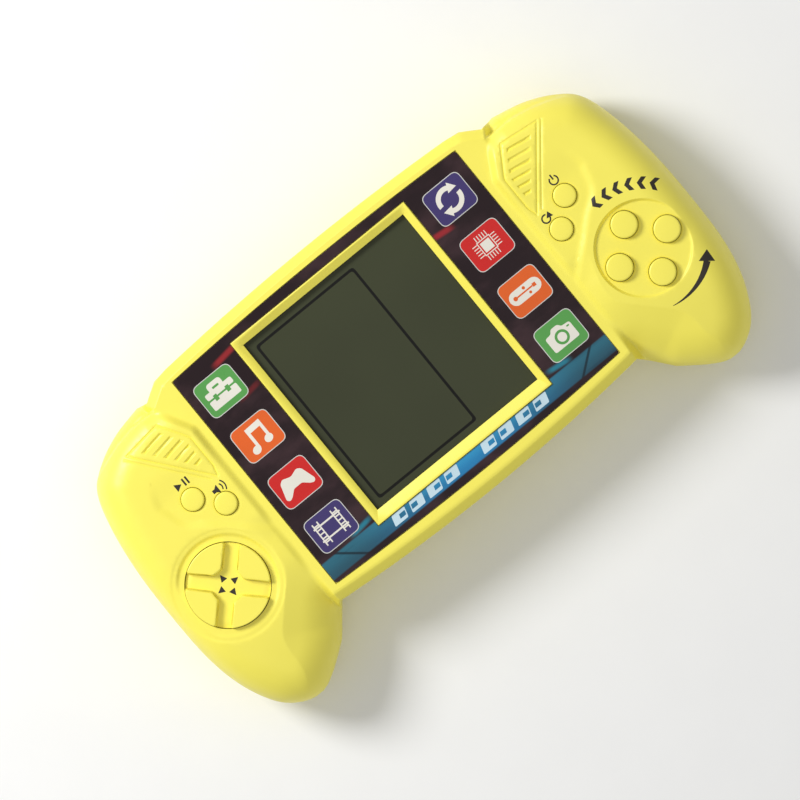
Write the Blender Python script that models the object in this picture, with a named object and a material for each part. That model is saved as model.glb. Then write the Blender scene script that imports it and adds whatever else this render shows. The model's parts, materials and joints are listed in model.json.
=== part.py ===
"""Handheld LCD game with two grips, built as the separate pieces of the real toy.

Lengths below are millimetres, measured from the middle of the graphic panel:
x to the right, y towards the shoulders, z out of the screen, with z = 0 under the flat back.
put() turns them into metres and moves the origin to the middle of the footprint.
"""

import math

import bpy
import numpy as np
from mathutils.geometry import delaunay_2d_cdt

MM = 0.001
FOOTPRINT_SHIFT = 6.75  # the footprint's middle lies this far below the panel's middle

# Overall form
SPLIT_Z = 13.5  # parting line between the two shells
SEAM = 0.15  # half the gap along the parting line
FACE_Z = 25.6  # middle part's front face
GRIP_Z = 27.4  # top of the grips
BAR_Z = 21.0  # top of the moulded shoulder bars
WALL = 1.8
SKIN = 2.0  # front shell thickness under a flat face
STEP = 0.03  # half the width of an upright step in a shell
GRIP_X = 48.6  # where the raised grip starts
GRIP_RAMP = 2.2
MIDDLE_BEVEL = (2.5, 2.0)  # how far in the bevel round the middle part runs, and its drop
GRIP_ROUND = 10.0
GRIP_ROUND_INSIDE = 6.0
BACK_ROUND = 8.0
ROUNDNESS = 2.4

# Screen and panel
PANEL_SIZE = (93.0, 66.0)
PANEL_ARCH = 1.2
PANEL_FLOOR_Z = 24.9
PANEL_BOTTOM_Z = 25.1
PANEL_TOP_Z = 25.6
FIT = 0.2
SCREEN = (-0.25, 2.1)
WINDOW_SIZE = (52.7, 54.2)
BEZEL = (-0.3, 1.65)
BEZEL_SIZE = (57.0, 59.7)
BEZEL_Z = 26.1

# Keys
DPAD = (-68.2, -15.8)
DPAD_R = 11.0
DPAD_HOLE_R = 11.35
DPAD_RING_R = 13.6
DPAD_FLANGE_R = 12.5
DPAD_CHANNEL = 1.85
DPAD_HUB = 4.0
DPAD_PIVOT_Z = 22.0
ACTION = (68.0, -16.2)
ACTION_SPREAD = 7.74
ACTION_R = 3.5
ACTION_DISH_R = 12.6
SMALL_KEYS = {
    "start": (-61.3, 6.8),
    "sound": (-55.3, 0.7),
    "power": (61.0, 6.8),
    "reset": (55.0, 0.7),
}
SMALL_R = 3.0
KEY_GAP = 0.35
BASIN_Z = 26.5
KEY_FLANGE = 1.0
KEY_FLANGE_Z = (23.2, 24.0)

# Inside
KEY_BOARD_Z = (17.4, 19.0)
MAT_Z = (19.3, 20.5)
DOME_TOP_Z = 22.2
DOME_R = 2.9
MAIN_BOARD_Z = (18.2, 19.8)
MAIN_BOARD_SIZE = (76.0, 62.0)
KEY_BOARD_BOX = (51.5, -29.5, 80.0, 12.0)
MAT_BOX = (51.9, -29.1, 79.6, 11.6)
KEY_BOARD_POSTS = ((75.4, 7.6), (54.9, -26.0))
MAIN_BOARD_POSTS = ((34.5, 26.5), (34.5, -26.5), (-34.5, 26.5), (-34.5, -26.5))
SHELL_SCREWS = {
    "top_left": (-43.5, 30.2),
    "top_right": (43.5, 30.2),
    "bottom_left": (-43.5, -31.4),
    "bottom_right": (43.5, -31.4),
    "grip_left": (-67.5, -38.0),
    "grip_right": (67.5, -38.0),
}
POST_R = 3.3
SCREW_SHELF_Z = 9.5

# Battery bay
CELL_R = 7.1
CELL_LENGTH = 49.2
CELL_Y = 7.5
CELL_Z = 9.3
BAY_SIZE = (61.0, 30.6)
BAY_ROOF_Z = 16.8
BAY_WALL = 1.2
DOOR_SIZE = (64.4, 34.0)
DOOR_Z = (0.25, 1.85)
DOOR_LEDGE_Z = 2.15
DOOR_TAB = (0.0, 20.6)
DOOR_TAB_SIZE = (11.0, 9.0)

BUZZER = (66.0, -6.0)
BUZZER_R = 10.0

YELLOW = (0.93, 0.86, 0.13)
BLACK = (0.02, 0.018, 0.022)
BOARD_TAN = (0.45, 0.27, 0.10)
RUBBER_GREY = (0.55, 0.56, 0.55)
STEEL = (0.62, 0.62, 0.60)
NICKEL = (0.70, 0.68, 0.62)


# ---------- the outline ----------


def spline(points, steps):
    """Smooth open curve through the points, with this many steps between each two."""
    p = np.array([points[0], *points, points[-1]], float)
    t = np.linspace(0, 1, steps, endpoint=False)[:, None]
    runs = []
    for a, b, c, d in zip(p, p[1:], p[2:], p[3:]):
        bend = (2 * a - 5 * b + 4 * c - d) * t**2 + (3 * b - a - 3 * c + d) * t**3
        runs.append(0.5 * (2 * b + (c - a) * t + bend))
    return np.vstack([*runs, p[-1:]])


def half_outline():
    """Right half, from the middle of the top edge clockwise to the middle of the bottom edge."""
    x = np.array([0.0, 12.0, 24.0, 36.0, 46.0])
    top = np.column_stack([x, 38.6 - 1.6 * (x / 46.0) ** 2])
    corner = spline([(50.2, 36.4), (53.0, 34.7), (55.2, 33.3)], 2)
    grip = spline(
        [
            (58.8, 34.2), (67.6, 32.2), (75.2, 28.6), (80.3, 23.8), (83.3, 14.5), (85.1, 2.0),
            (85.6, -12.0), (85.1, -27.0), (82.8, -38.0), (78.4, -46.8), (73.0, -51.2),
            (67.6, -52.2), (62.4, -49.9), (55.4, -44.9),
        ],
        2,
    )
    x = np.array([48.9, 43.0, 30.0, 15.0, 0.0])
    bottom = np.column_stack([x, -39.4 + 2.4 * (x / 48.9) ** 2])
    return np.vstack([top, corner, grip, bottom])


def full_outline():
    right = half_outline()
    left = right[-2:0:-1] * [-1, 1]
    return np.vstack([right, left])[::-1]


OUTLINE = full_outline()


def edge_distance(x, y, line=OUTLINE):
    """Distance from each point to the closed outline."""
    p = np.column_stack([x, y])[:, None, :]
    a = line[None, :, :]
    along = np.roll(line, -1, axis=0)[None, :, :] - a
    t = ((p - a) * along).sum(-1) / (along**2).sum(-1)
    near = a + np.clip(t, 0, 1)[..., None] * along
    return np.linalg.norm(p - near, axis=-1).min(axis=1)


def inside(x, y, line=OUTLINE):
    a, b = line, np.roll(line, -1, axis=0)
    crosses = (a[:, 1] > y[:, None]) != (b[:, 1] > y[:, None])
    rise = np.where(a[:, 1] == b[:, 1], 1, b[:, 1] - a[:, 1])
    at = a[:, 0] + (y[:, None] - a[:, 1]) / rise * (b[:, 0] - a[:, 0])
    return (crosses & (x[:, None] < at)).sum(axis=1) % 2 == 1


def rounded(t):
    """Quarter of a soft-cornered oval: 0 at the edge, 1 from t = 1 inwards."""
    t = np.clip(t, 0, 1)
    return (1 - (1 - t) ** ROUNDNESS) ** (1 / ROUNDNESS)


def ease(t):
    t = np.clip(t, 0, 1)
    return t * t * (3 - 2 * t)


# ---------- heights of the shells ----------


def grip_share(x, y):
    """0 on the middle part, 1 on a grip, with a ramp between them."""
    straight = np.abs(x) - GRIP_X
    slanted = (straight - 0.557 * (y - 21.0)) * 0.874
    return ease(np.minimum(straight, slanted) / GRIP_RAMP)


def bar_share(x, y, inward=0.0):
    """1 on a shoulder bar, 0 elsewhere."""
    x = np.abs(x)
    edge = np.interp(x, [55.0, 63.0, 68.0, 72.5, 77.4, 80.0], [30.3, 30.3, 29.3, 27.9, 26.1, 26.1])
    return ease(y - edge + inward) * ease((x - 52.5) / 1.5)


def grip_height(x, y):
    """The grips fall away towards their ends, and more on the inner side of a crease."""
    x = np.abs(x)
    fall = 5.5 * np.clip((-20.0 - y) / 32.0, 0, 1) ** 1.7
    crease = np.interp(y, [-52.0, -44.5, -38.0, -34.0, -28.0], [68.3, 67.2, 66.3, 65.0, 59.0])
    beyond = np.clip(crease - x, 0, 12) * ease((-24.0 - y) / 8.0)
    return GRIP_Z - fall - 0.28 * beyond


def front_form(x, y, wall, skin):
    """Height of the front shell's form, moved inwards by a wall and down by a skin."""
    d = np.maximum(edge_distance(x, y) - wall, 0)
    base = SPLIT_Z + SEAM
    grip_round = GRIP_ROUND if wall == 0 else GRIP_ROUND_INSIDE
    reach, drop = MIDDLE_BEVEL
    middle = FACE_Z - skin - drop * (1 - np.clip(d / reach, 0, 1))
    grip = base + (grip_height(x, y) - skin - base) * rounded(d / grip_round)
    bar = base + (BAR_Z - skin - base) * rounded(d / 3.5)
    share = bar_share(x, y, inward=wall)
    grip = grip * (1 - share) + bar * share
    share = grip_share(x, y)
    return middle * (1 - share) + grip * share


def in_box(x, y, centre, size, grow=0.0):
    return (np.abs(x - centre[0]) < size[0] / 2 + grow) & (np.abs(y - centre[1]) < size[1] / 2 + grow)


def in_disc(x, y, centre, radius, sides):
    """Inside the many-sided round that circle() draws."""
    part = math.tau / sides
    fold = np.arctan2(y - centre[1], x - centre[0]) % part - part / 2
    return np.hypot(x - centre[0], y - centre[1]) * np.cos(fold) < radius * math.cos(part / 2)


def on_panel(x, y, grow):
    arch = PANEL_ARCH * (1 - (x / (PANEL_SIZE[0] / 2)) ** 2)
    across = np.abs(x) < PANEL_SIZE[0] / 2 + grow
    return across & (np.abs(y - 0.2) < PANEL_SIZE[1] / 2 + arch + grow)


def key_centres():
    """Every round hole for a key: (centre, hole radius)."""
    holes = [((ACTION[0] + dx, ACTION[1] + dy), ACTION_R + KEY_GAP) for dx, dy in action_offsets().values()]
    holes += [(centre, SMALL_R + KEY_GAP) for centre in SMALL_KEYS.values()]
    return [*holes, (DPAD, DPAD_HOLE_R)]


def action_offsets():
    return {
        "up": (0.0, ACTION_SPREAD),
        "left": (-ACTION_SPREAD, 0.0),
        "right": (ACTION_SPREAD, 0.0),
        "down": (0.0, -ACTION_SPREAD),
    }


def basins():
    """Shallow sunken rounds about the keys: (centre, radius)."""
    rounds = [(DPAD, DPAD_RING_R), (ACTION, ACTION_DISH_R)]
    return rounds + [(centre, 5.0) for centre in SMALL_KEYS.values()]


def front_outside(x, y):
    z = front_form(x, y, 0, 0)
    for centre, radius in basins():
        depth = ease((radius - np.hypot(x - centre[0], y - centre[1])) / 1.0)
        z = z + (np.minimum(z, BASIN_Z) - z) * depth
    z = np.where(on_panel(x, y, FIT), PANEL_FLOOR_Z, z)
    return np.where(in_box(x, y, BEZEL, BEZEL_SIZE), BEZEL_Z, z)


def front_inside(x, y):
    z = front_form(x, y, WALL, SKIN)
    for centre, radius in basins():
        near = np.hypot(x - centre[0], y - centre[1]) < radius + 1.0
        z = np.where(near, np.minimum(z, BASIN_Z - WALL), z)
    z = np.where(on_panel(x, y, 1.5), np.minimum(z, PANEL_FLOOR_Z - 1.3), z)
    for centre in SHELL_SCREWS.values():
        z = np.where(in_disc(x, y, centre, POST_R, 8), SPLIT_Z + SEAM, z)
        z = np.where(in_disc(x, y, centre, 1.5, 6), 21.0, z)
    for posts, bottom in ((key_board_posts(), KEY_BOARD_Z[1]), (MAIN_BOARD_POSTS, MAIN_BOARD_Z[1])):
        for centre in posts:
            z = np.where(in_disc(x, y, centre, 2.4, 6), bottom + 0.3, z)
            z = np.where(in_disc(x, y, centre, 1.2, 6), 22.6, z)
    return np.where(edge_distance(x, y) < WALL, SPLIT_Z + SEAM, z)


def back_form(x, y, wall, skin):
    d = np.maximum(edge_distance(x, y) - wall, 0)
    top = SPLIT_Z - SEAM
    return top - (top - skin) * rounded(d / (BACK_ROUND - wall))


def back_outside(x, y):
    z = back_form(x, y, 0, 0)
    for centre in SHELL_SCREWS.values():
        z = np.where(in_disc(x, y, centre, 3.0, 8), SCREW_SHELF_Z, z)
    door = in_box(x, y, (0, 0), DOOR_SIZE, FIT) | in_box(x, y, DOOR_TAB, DOOR_TAB_SIZE, FIT)
    z = np.where(door, DOOR_LEDGE_Z, z)
    z = np.where(in_disc(x, y, DOOR_TAB, 1.4, 6), 8.0, z)
    return np.where(in_box(x, y, (0, 0), BAY_SIZE), BAY_ROOF_Z, z)


def back_inside(x, y):
    z = back_form(x, y, WALL, SKIN)
    door = in_box(x, y, (0, 0), DOOR_SIZE, 1.5) | in_box(x, y, DOOR_TAB, DOOR_TAB_SIZE, 1.5)
    z = np.where(door, np.maximum(z, DOOR_LEDGE_Z + 1.5), z)
    z = np.where(in_disc(x, y, DOOR_TAB, 3.0, 8), 9.4, z)
    z = np.where(in_box(x, y, (0, 0), BAY_SIZE, BAY_WALL), BAY_ROOF_Z + BAY_WALL, z)
    for centre in SHELL_SCREWS.values():
        z = np.where(in_disc(x, y, centre, POST_R + 1.3, 8), SPLIT_Z - SEAM, z)
    return np.where(edge_distance(x, y) < WALL, SPLIT_Z - SEAM, z)


# ---------- making meshes ----------


def material(name, colour, roughness=0.5, metallic=0.0):
    made = bpy.data.materials.new(name)
    made.use_nodes = True
    shader = made.node_tree.nodes["Principled BSDF"]
    shader.inputs["Base Color"].default_value = (*colour, 1.0)
    shader.inputs["Roughness"].default_value = roughness
    shader.inputs["Metallic"].default_value = metallic
    return made


def put(name, points, faces, look):
    """A mesh object from points in millimetres, with its origin at the row's origin."""
    at = (np.asarray(points, float) + [0, FOOTPRINT_SHIFT, 0]) * MM
    mesh = bpy.data.meshes.new(name)
    mesh.from_pydata([tuple(p) for p in at], [], [tuple(f) for f in faces])
    mesh.validate()
    mesh.materials.append(material(name, *look))
    mesh.shade_smooth()
    mesh.set_sharp_from_angle(angle=math.radians(35))
    made = bpy.data.objects.new(name, mesh)
    bpy.context.scene.collection.objects.link(made)
    return made


def set_origin(made, x, y, z):
    """Moves an object's origin to its joint without moving its shape."""
    at = np.array([x, y + FOOTPRINT_SHIFT, z]) * MM
    for vertex in made.data.vertices:
        vertex.co = vertex.co - type(vertex.co)(at)
    made.location = at


def circle(centre, radius, sides):
    a = np.arange(sides) * math.tau / sides
    return np.column_stack([centre[0] + radius * np.cos(a), centre[1] + radius * np.sin(a)])


def box(centre, size, grow=0.0):
    x, y = size[0] / 2 + grow, size[1] / 2 + grow
    return np.array([(-x, -y), (x, -y), (x, y), (-x, y)]) + centre


def stepped(shape, *args):
    """The shape's loop twice, just inside and just outside an upright step."""
    if shape is circle:
        centre, radius, sides = args
        return [circle(centre, radius - STEP, sides), circle(centre, radius + STEP, sides)]
    centre, size, grow = args
    return [box(centre, size, grow - STEP), box(centre, size, grow + STEP)]


def panel_loop(grow, steps=8):
    x = np.linspace(-1, 1, steps + 1) * (PANEL_SIZE[0] / 2 + grow)
    arch = PANEL_ARCH * (1 - (x / (PANEL_SIZE[0] / 2)) ** 2)
    y = PANEL_SIZE[1] / 2 + arch + grow
    return np.vstack([np.column_stack([x, 0.2 - y]), np.column_stack([x, 0.2 + y])[::-1]])


def rings(distances):
    """The outline moved inwards, as runs that break where it would fold over itself."""
    ahead = np.roll(OUTLINE, -1, axis=0) - np.roll(OUTLINE, 1, axis=0)
    normal = np.column_stack([-ahead[:, 1], ahead[:, 0]]) / np.linalg.norm(ahead, axis=1)[:, None]
    runs = []
    for distance in distances:
        moved = OUTLINE + normal * distance
        kept = edge_distance(moved[:, 0], moved[:, 1]) > 0.96 * distance
        runs.append((moved, kept))
    return runs


def sheet(name, outline, loops, runs, dots, upper, lower, is_hole, look):
    """A closed solid between two height functions over one triangulated plan."""
    points, edges = [], []
    for loop in [outline, *loops]:
        first = len(points)
        points += [tuple(p) for p in loop]
        edges += [(first + i, first + (i + 1) % len(loop)) for i in range(len(loop))]
    for run, kept in runs:
        first = len(points)
        number = np.cumsum(kept) - 1 + first
        points += [tuple(p) for p in run[kept]]
        after = np.roll(np.arange(len(run)), -1)
        edges += [(number[i], number[j]) for i, j in enumerate(after) if kept[i] and kept[j]]
    points += [tuple(p) for p in dots]
    edges = [(int(a), int(b)) for a, b in edges]
    plan, _, triangles, *_ = delaunay_2d_cdt(points, edges, [], 0, 1e-4)
    plan = np.array([tuple(p) for p in plan])
    triangles = np.array([t for t in triangles if len(t) == 3])
    middle = plan[triangles].mean(axis=1)
    keep = inside(middle[:, 0], middle[:, 1], outline) & ~is_hole(middle[:, 0], middle[:, 1])
    a, b, c = (plan[triangles[:, i]] for i in range(3))
    area = (b[:, 0] - a[:, 0]) * (c[:, 1] - a[:, 1]) - (b[:, 1] - a[:, 1]) * (c[:, 0] - a[:, 0])
    triangles = np.where(area[:, None] > 0, triangles, triangles[:, ::-1])[keep]

    used = np.unique(triangles)
    renumber = np.full(len(plan), -1)
    renumber[used] = np.arange(len(used))
    plan, triangles = plan[used], renumber[triangles]
    top, bottom = upper(plan[:, 0], plan[:, 1]), lower(plan[:, 0], plan[:, 1])
    met = top - bottom < 1e-4
    below = np.where(met, np.arange(len(plan)), 0)
    below[~met] = len(plan) + np.arange((~met).sum())
    heights = np.vstack([np.column_stack([plan, top]), np.column_stack([plan, bottom])[~met]])
    faces = [tuple(t) for t in triangles] + [tuple(below[t[::-1]]) for t in triangles]
    sides = {(t[i], t[(i + 1) % 3]) for t in triangles for i in range(3)}
    for i, j in sorted(side for side in sides if (side[1], side[0]) not in sides):
        wall = [j, i, below[i], below[j]]
        wall = [k for n, k in enumerate(wall) if k not in wall[:n]]
        if len(wall) > 2:
            faces.append(tuple(wall))
    return put(name, heights, faces, look)


def plate(name, outline, z, look, holes=(), loops=()):
    """A flat plate with round or square holes, given as loops."""

    def is_hole(x, y):
        found = np.zeros(len(x), bool)
        for hole in holes:
            found |= inside(x, y, np.asarray(hole))
        return found

    flat = [lambda x, y, level=level: np.full(len(x), level) for level in z]
    return sheet(name, outline, [*holes, *loops], [], [], flat[1], flat[0], is_hole, look)


def turned(name, profile, centre, sides, look):
    """A solid turned about z, from (radius, z) points that run from its bottom pole to its top pole."""
    turns = np.arange(sides) * math.tau / sides
    points, rows = [], []
    for radius, z in profile:
        if radius == 0:
            rows.append([len(points)] * sides)
            points.append((*centre, z))
            continue
        rows.append([len(points) + i for i in range(sides)])
        points += [(centre[0] + radius * math.cos(a), centre[1] + radius * math.sin(a), z) for a in turns]
    faces = []
    for low, high in zip(rows, rows[1:]):
        for i in range(sides):
            j = (i + 1) % sides
            quad = [low[i], low[j], high[j], high[i]]
            faces.append([k for n, k in enumerate(quad) if k not in quad[:n]])
    return put(name, points, faces, look)


def lying_turned(name, profile, centre, sides, look, flip=False):
    """The same, turned about x instead, for a cell lying on its side."""
    made = turned(name, profile, (0.0, 0.0), sides, look)
    sign = -1 if flip else 1
    for vertex in made.data.vertices:
        x, y, z = vertex.co
        y -= FOOTPRINT_SHIFT * MM
        across = y + (centre[1] + FOOTPRINT_SHIFT) * MM
        vertex.co = (sign * z + centre[0] * MM, across, centre[2] * MM - sign * x)
    return made


def block(name, low, high, look):
    centre = ((low[0] + high[0]) / 2, (low[1] + high[1]) / 2)
    size = (high[0] - low[0], high[1] - low[1])
    return plate(name, box(centre, size), (low[2], high[2]), look)


def wire(name, points, radius, look, steps=3, resolution=1):
    """A round wire along a smooth curve through the points."""
    path = spline3(points, steps)
    curve = bpy.data.curves.new(name, "CURVE")
    curve.dimensions = "3D"
    curve.bevel_depth = radius * MM
    curve.bevel_resolution = resolution
    curve.use_fill_caps = True
    line = curve.splines.new("POLY")
    line.points.add(len(path) - 1)
    for point, (x, y, z) in zip(line.points, path):
        point.co = (x * MM, (y + FOOTPRINT_SHIFT) * MM, z * MM, 1.0)
    curve.materials.append(material(name, *look))
    made = bpy.data.objects.new(name, curve)
    bpy.context.scene.collection.objects.link(made)
    return made


def spline3(points, steps):
    p = np.array([points[0], *points, points[-1]], float)
    if steps == 1:
        return p[1:-1]
    t = np.linspace(0, 1, steps, endpoint=False)[:, None]
    runs = []
    for a, b, c, d in zip(p, p[1:], p[2:], p[3:]):
        bend = (2 * a - 5 * b + 4 * c - d) * t**2 + (3 * b - a - 3 * c + d) * t**3
        runs.append(0.5 * (2 * b + (c - a) * t + bend))
    return np.vstack([*runs, p[-1:]])


def no_hole(x, y):
    return np.zeros(len(x), bool)


# ---------- the pieces ----------


def key_board_posts():
    return [(side * x, y) for side in (-1, 1) for x, y in KEY_BOARD_POSTS]


def grip_dots():
    """Plan points that carry the grips' curved faces."""
    dots = []
    for side in (-1, 1):
        for x in (62.0, 70.0, 77.0):
            dots += [(side * x, y) for y in (21.0, 14.0)]
        dots += [(side * x, y) for x, y in ((58.0, -33.0), (64.5, -33.0), (74.0, -34.0))]
        dots += [(side * x, y) for x, y in ((66.6, -43.0), (73.0, -42.0), (60.5, -41.0), (56.0, 22.0))]
        for across in (0.0, 0.5, 1.0):
            ramp = GRIP_X + across * GRIP_RAMP
            dots += [(side * ramp, y) for y in (-32.0, -20.0, -8.0, 4.0, 20.0)]
            dots += [(side * (ramp + 3.6), 27.0)]
    return dots


def hole_sides(centre):
    return 28 if centre == DPAD else 12


def front_shell():
    loops = [box(SCREEN, WINDOW_SIZE)]
    loops += stepped(box, BEZEL, BEZEL_SIZE, 0.0)
    loops += [panel_loop(FIT - STEP), panel_loop(FIT + STEP)]
    for centre, radius in key_centres():
        loops.append(circle(centre, radius, hole_sides(centre)))
    loops += [circle(DPAD, DPAD_RING_R - 1, 20), circle(ACTION, ACTION_DISH_R, 20)]
    loops += [circle(ACTION, ACTION_DISH_R - 1, 20)]
    for centre in SHELL_SCREWS.values():
        loops += stepped(circle, centre, POST_R, 8) + stepped(circle, centre, 1.5, 6)
    for centre in [*key_board_posts(), *MAIN_BOARD_POSTS]:
        loops += stepped(circle, centre, 2.4, 6) + stepped(circle, centre, 1.2, 6)

    def is_hole(x, y):
        found = in_box(x, y, SCREEN, WINDOW_SIZE)
        for centre, radius in key_centres():
            found |= in_disc(x, y, centre, radius, hole_sides(centre))
        return found

    runs = rings((0.5, WALL - STEP, WALL + STEP, MIDDLE_BEVEL[0], 4.2, 6.5))
    look = (YELLOW, 0.42)
    sheet("front_shell", OUTLINE, loops, runs, grip_dots(), front_outside, front_inside, is_hole, look)


def sound_slots():
    return [box((BUZZER[0], BUZZER[1] + 3.2 * i), (11.0, 1.2)) for i in (-1, 0, 1)]


def rear_shell():
    loops = stepped(box, (0, 0), BAY_SIZE, 0.0) + stepped(box, (0, 0), BAY_SIZE, BAY_WALL)
    loops += stepped(box, (0, 0), DOOR_SIZE, FIT) + stepped(box, (0, 0), DOOR_SIZE, 1.5)
    loops += stepped(box, DOOR_TAB, DOOR_TAB_SIZE, FIT) + stepped(box, DOOR_TAB, DOOR_TAB_SIZE, 1.5)
    loops += stepped(circle, DOOR_TAB, 3.0, 8) + stepped(circle, DOOR_TAB, 1.4, 6)
    for centre in SHELL_SCREWS.values():
        loops += stepped(circle, centre, POST_R + 1.3, 8) + stepped(circle, centre, 3.0, 8)
        loops.append(circle(centre, 1.6, 6))
    loops += sound_slots()

    def is_hole(x, y):
        found = np.zeros(len(x), bool)
        for centre in SHELL_SCREWS.values():
            found |= in_disc(x, y, centre, 1.6, 6)
        for slot in sound_slots():
            found |= inside(x, y, slot)
        return found

    runs = rings((0.6, WALL - STEP, WALL + STEP, 3.8, BACK_ROUND))
    look = (YELLOW, 0.45)
    sheet("rear_shell", OUTLINE, loops, runs, [], back_inside, back_outside, is_hole, look)


def battery_door():
    """Flush plate with a screw tab on its upper edge and finger ridges outside."""
    x, y = DOOR_SIZE[0] / 2, DOOR_SIZE[1] / 2
    tab = DOOR_TAB_SIZE[0] / 2
    tab_y = DOOR_TAB[1] + DOOR_TAB_SIZE[1] / 2
    outline = np.array([(-x, -y), (x, -y), (x, y), (tab, y), (tab, tab_y), (-tab, tab_y), (-tab, y), (-x, y)])
    ridges = [(0.0, -12.5 + 2.4 * i) for i in range(4)]
    loops = stepped(circle, DOOR_TAB, 2.6, 12) + [circle(DOOR_TAB, 1.6, 6)]
    for ridge in ridges:
        loops += stepped(box, ridge, (18.0, 0.9), 0.0)

    def outer(px, py):
        z = np.where(in_disc(px, py, DOOR_TAB, 2.6, 12), 1.15, DOOR_Z[0])
        for ridge in ridges:
            z = np.where(in_box(px, py, ridge, (18.0, 0.9)), DOOR_Z[0] + 0.4, z)
        return z

    def inner(px, py):
        return np.full(len(px), DOOR_Z[1])

    def is_hole(px, py):
        return in_disc(px, py, DOOR_TAB, 1.6, 6)

    sheet("battery_door", outline, loops, [], [], inner, outer, is_hole, (YELLOW, 0.45))


def screw(name, centre, head_z, head_r, shank_z, shank_r):
    """Pan-head screw pointing up."""
    low, high = head_z
    profile = [
        (0.0, low), (head_r * 0.8, low), (head_r, low + 0.4), (head_r, high), (shank_r, high),
        (shank_r, shank_z - 0.8), (0.0, shank_z),
    ]
    return turned(name, profile, centre, 8, (STEEL, 0.35, 1.0))


def screws():
    for name, centre in SHELL_SCREWS.items():
        screw("shell_screw_" + name, centre, (7.3, SCREW_SHELF_Z - 0.25), 2.5, 19.5, 1.15)
    for name, centre in zip(("upper_right", "lower_right", "upper_left", "lower_left"), MAIN_BOARD_POSTS):
        head = (MAIN_BOARD_Z[0] - 1.6, MAIN_BOARD_Z[0] - 0.25)
        screw("main_board_screw_" + name, centre, head, 2.0, 22.0, 0.85)
    for name, centre in zip(("left_upper", "left_lower", "right_upper", "right_lower"), key_board_posts()):
        head = (KEY_BOARD_Z[0] - 1.6, KEY_BOARD_Z[0] - 0.25)
        screw("key_board_screw_" + name, centre, head, 2.0, 22.0, 0.85)
    door_screw = screw("battery_door_screw", DOOR_TAB, (0.35, 0.95), 2.2, 7.3, 1.05)
    set_origin(door_screw, *DOOR_TAB, 0.0)


def graphic_panel():
    hole = box(BEZEL, BEZEL_SIZE, FIT)
    plate("graphic_panel", panel_loop(0.0, 10), (PANEL_BOTTOM_Z, PANEL_TOP_Z), (BLACK, 0.25), [hole])


def screen():
    x, y = SCREEN
    glass = {"front": (58.0, 60.0, 22.05, 23.05), "rear": (58.0, 56.4, 20.95, 22.05)}
    look = ((0.07, 0.075, 0.045), 0.12)
    wide, tall, _, top = glass["front"]
    ledge = y - tall / 2 + 3.6

    def lower(px, py):
        return np.where(py < ledge, glass["front"][2], glass["rear"][2])

    def upper(px, py):
        return np.full(len(px), top)

    step = [np.array([(x - wide / 2, ledge + s), (x + wide / 2, ledge + s)]) for s in (-STEP, STEP)]
    sheet("lcd_glass", box((x, y), (wide, tall)), step, [], [], upper, lower, no_hole, look)
    plate("lcd_front_film", box((x, y + 1.0), (57.0, 57.0)), (23.15, 23.35), ((0.06, 0.065, 0.04), 0.2))
    plate("lcd_reflector_film", box((x, y + 1.8), (57.0, 55.6)), (20.65, 20.85), ((0.6, 0.62, 0.58), 0.3))
    strip_y = y - tall / 2 + 1.7
    block("lcd_contact_strip", (x - 27, strip_y - 1.1, 20.1), (x + 27, strip_y + 1.1, 21.8), (BLACK, 0.7))
    frame_size = (61.2, 63.2)
    hole = box((x, y), (58.8, 60.8))
    plate("lcd_frame", box((x, y), frame_size), (20.1, 23.35), ((0.8, 0.8, 0.78), 0.5), [hole])


def boards():
    look = (BOARD_TAN, 0.6)
    holes = [circle(centre, 1.3, 8) for centre in MAIN_BOARD_POSTS]
    plate("main_board", box((0, 0), MAIN_BOARD_SIZE), MAIN_BOARD_Z, look, holes)
    for side, word in ((-1, "left"), (1, "right")):
        holes = [circle((side * x, y), 1.3, 8) for x, y in KEY_BOARD_POSTS]
        plate(f"key_board_{word}", side_box(side, KEY_BOARD_BOX), KEY_BOARD_Z, look, holes)


def side_box(side, corners):
    x0, y0, x1, y1 = corners
    return box((side * (x0 + x1) / 2, (y0 + y1) / 2), (x1 - x0, y1 - y0))


def key_mats():
    """Silicone mats, each with a dome under every key that it carries."""
    rocker = [(DPAD[0] + 8 * dx, DPAD[1] + 8 * dy) for dx, dy in ((0, 1), (1, 0), (0, -1), (-1, 0))]
    domes = {
        -1: [*rocker, SMALL_KEYS["start"], SMALL_KEYS["sound"]],
        1: [(ACTION[0] + dx, ACTION[1] + dy) for dx, dy in action_offsets().values()]
        + [SMALL_KEYS["power"], SMALL_KEYS["reset"]],
    }
    for side, word in ((-1, "left"), (1, "right")):
        posts = [circle((side * x, y), 3.0, 8) for x, y in KEY_BOARD_POSTS]
        nub = [circle(DPAD, 2.8, 10)] if side < 0 else []
        loops = [*posts, *nub]
        for centre in domes[side]:
            loops += [circle(centre, DOME_R, 8), circle(centre, DOME_R - 0.9, 8)]

        def upper(x, y, centres=domes[side]):
            z = np.full(len(x), MAT_Z[1])
            for centre in centres:
                share = np.clip((DOME_R - np.hypot(x - centre[0], y - centre[1])) / 0.85, 0, 1)
                z = np.maximum(z, MAT_Z[1] + (DOME_TOP_Z - MAT_Z[1]) * share)
            return z

        def lower(x, y):
            return np.full(len(x), MAT_Z[0])

        def is_hole(x, y, holes=(*posts, *nub)):
            found = np.zeros(len(x), bool)
            for hole in holes:
                found |= inside(x, y, hole)
            return found

        outline = side_box(side, MAT_BOX)
        sheet(f"key_mat_{word}", outline, loops, [], [], upper, lower, is_hole, (RUBBER_GREY, 0.7))


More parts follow.
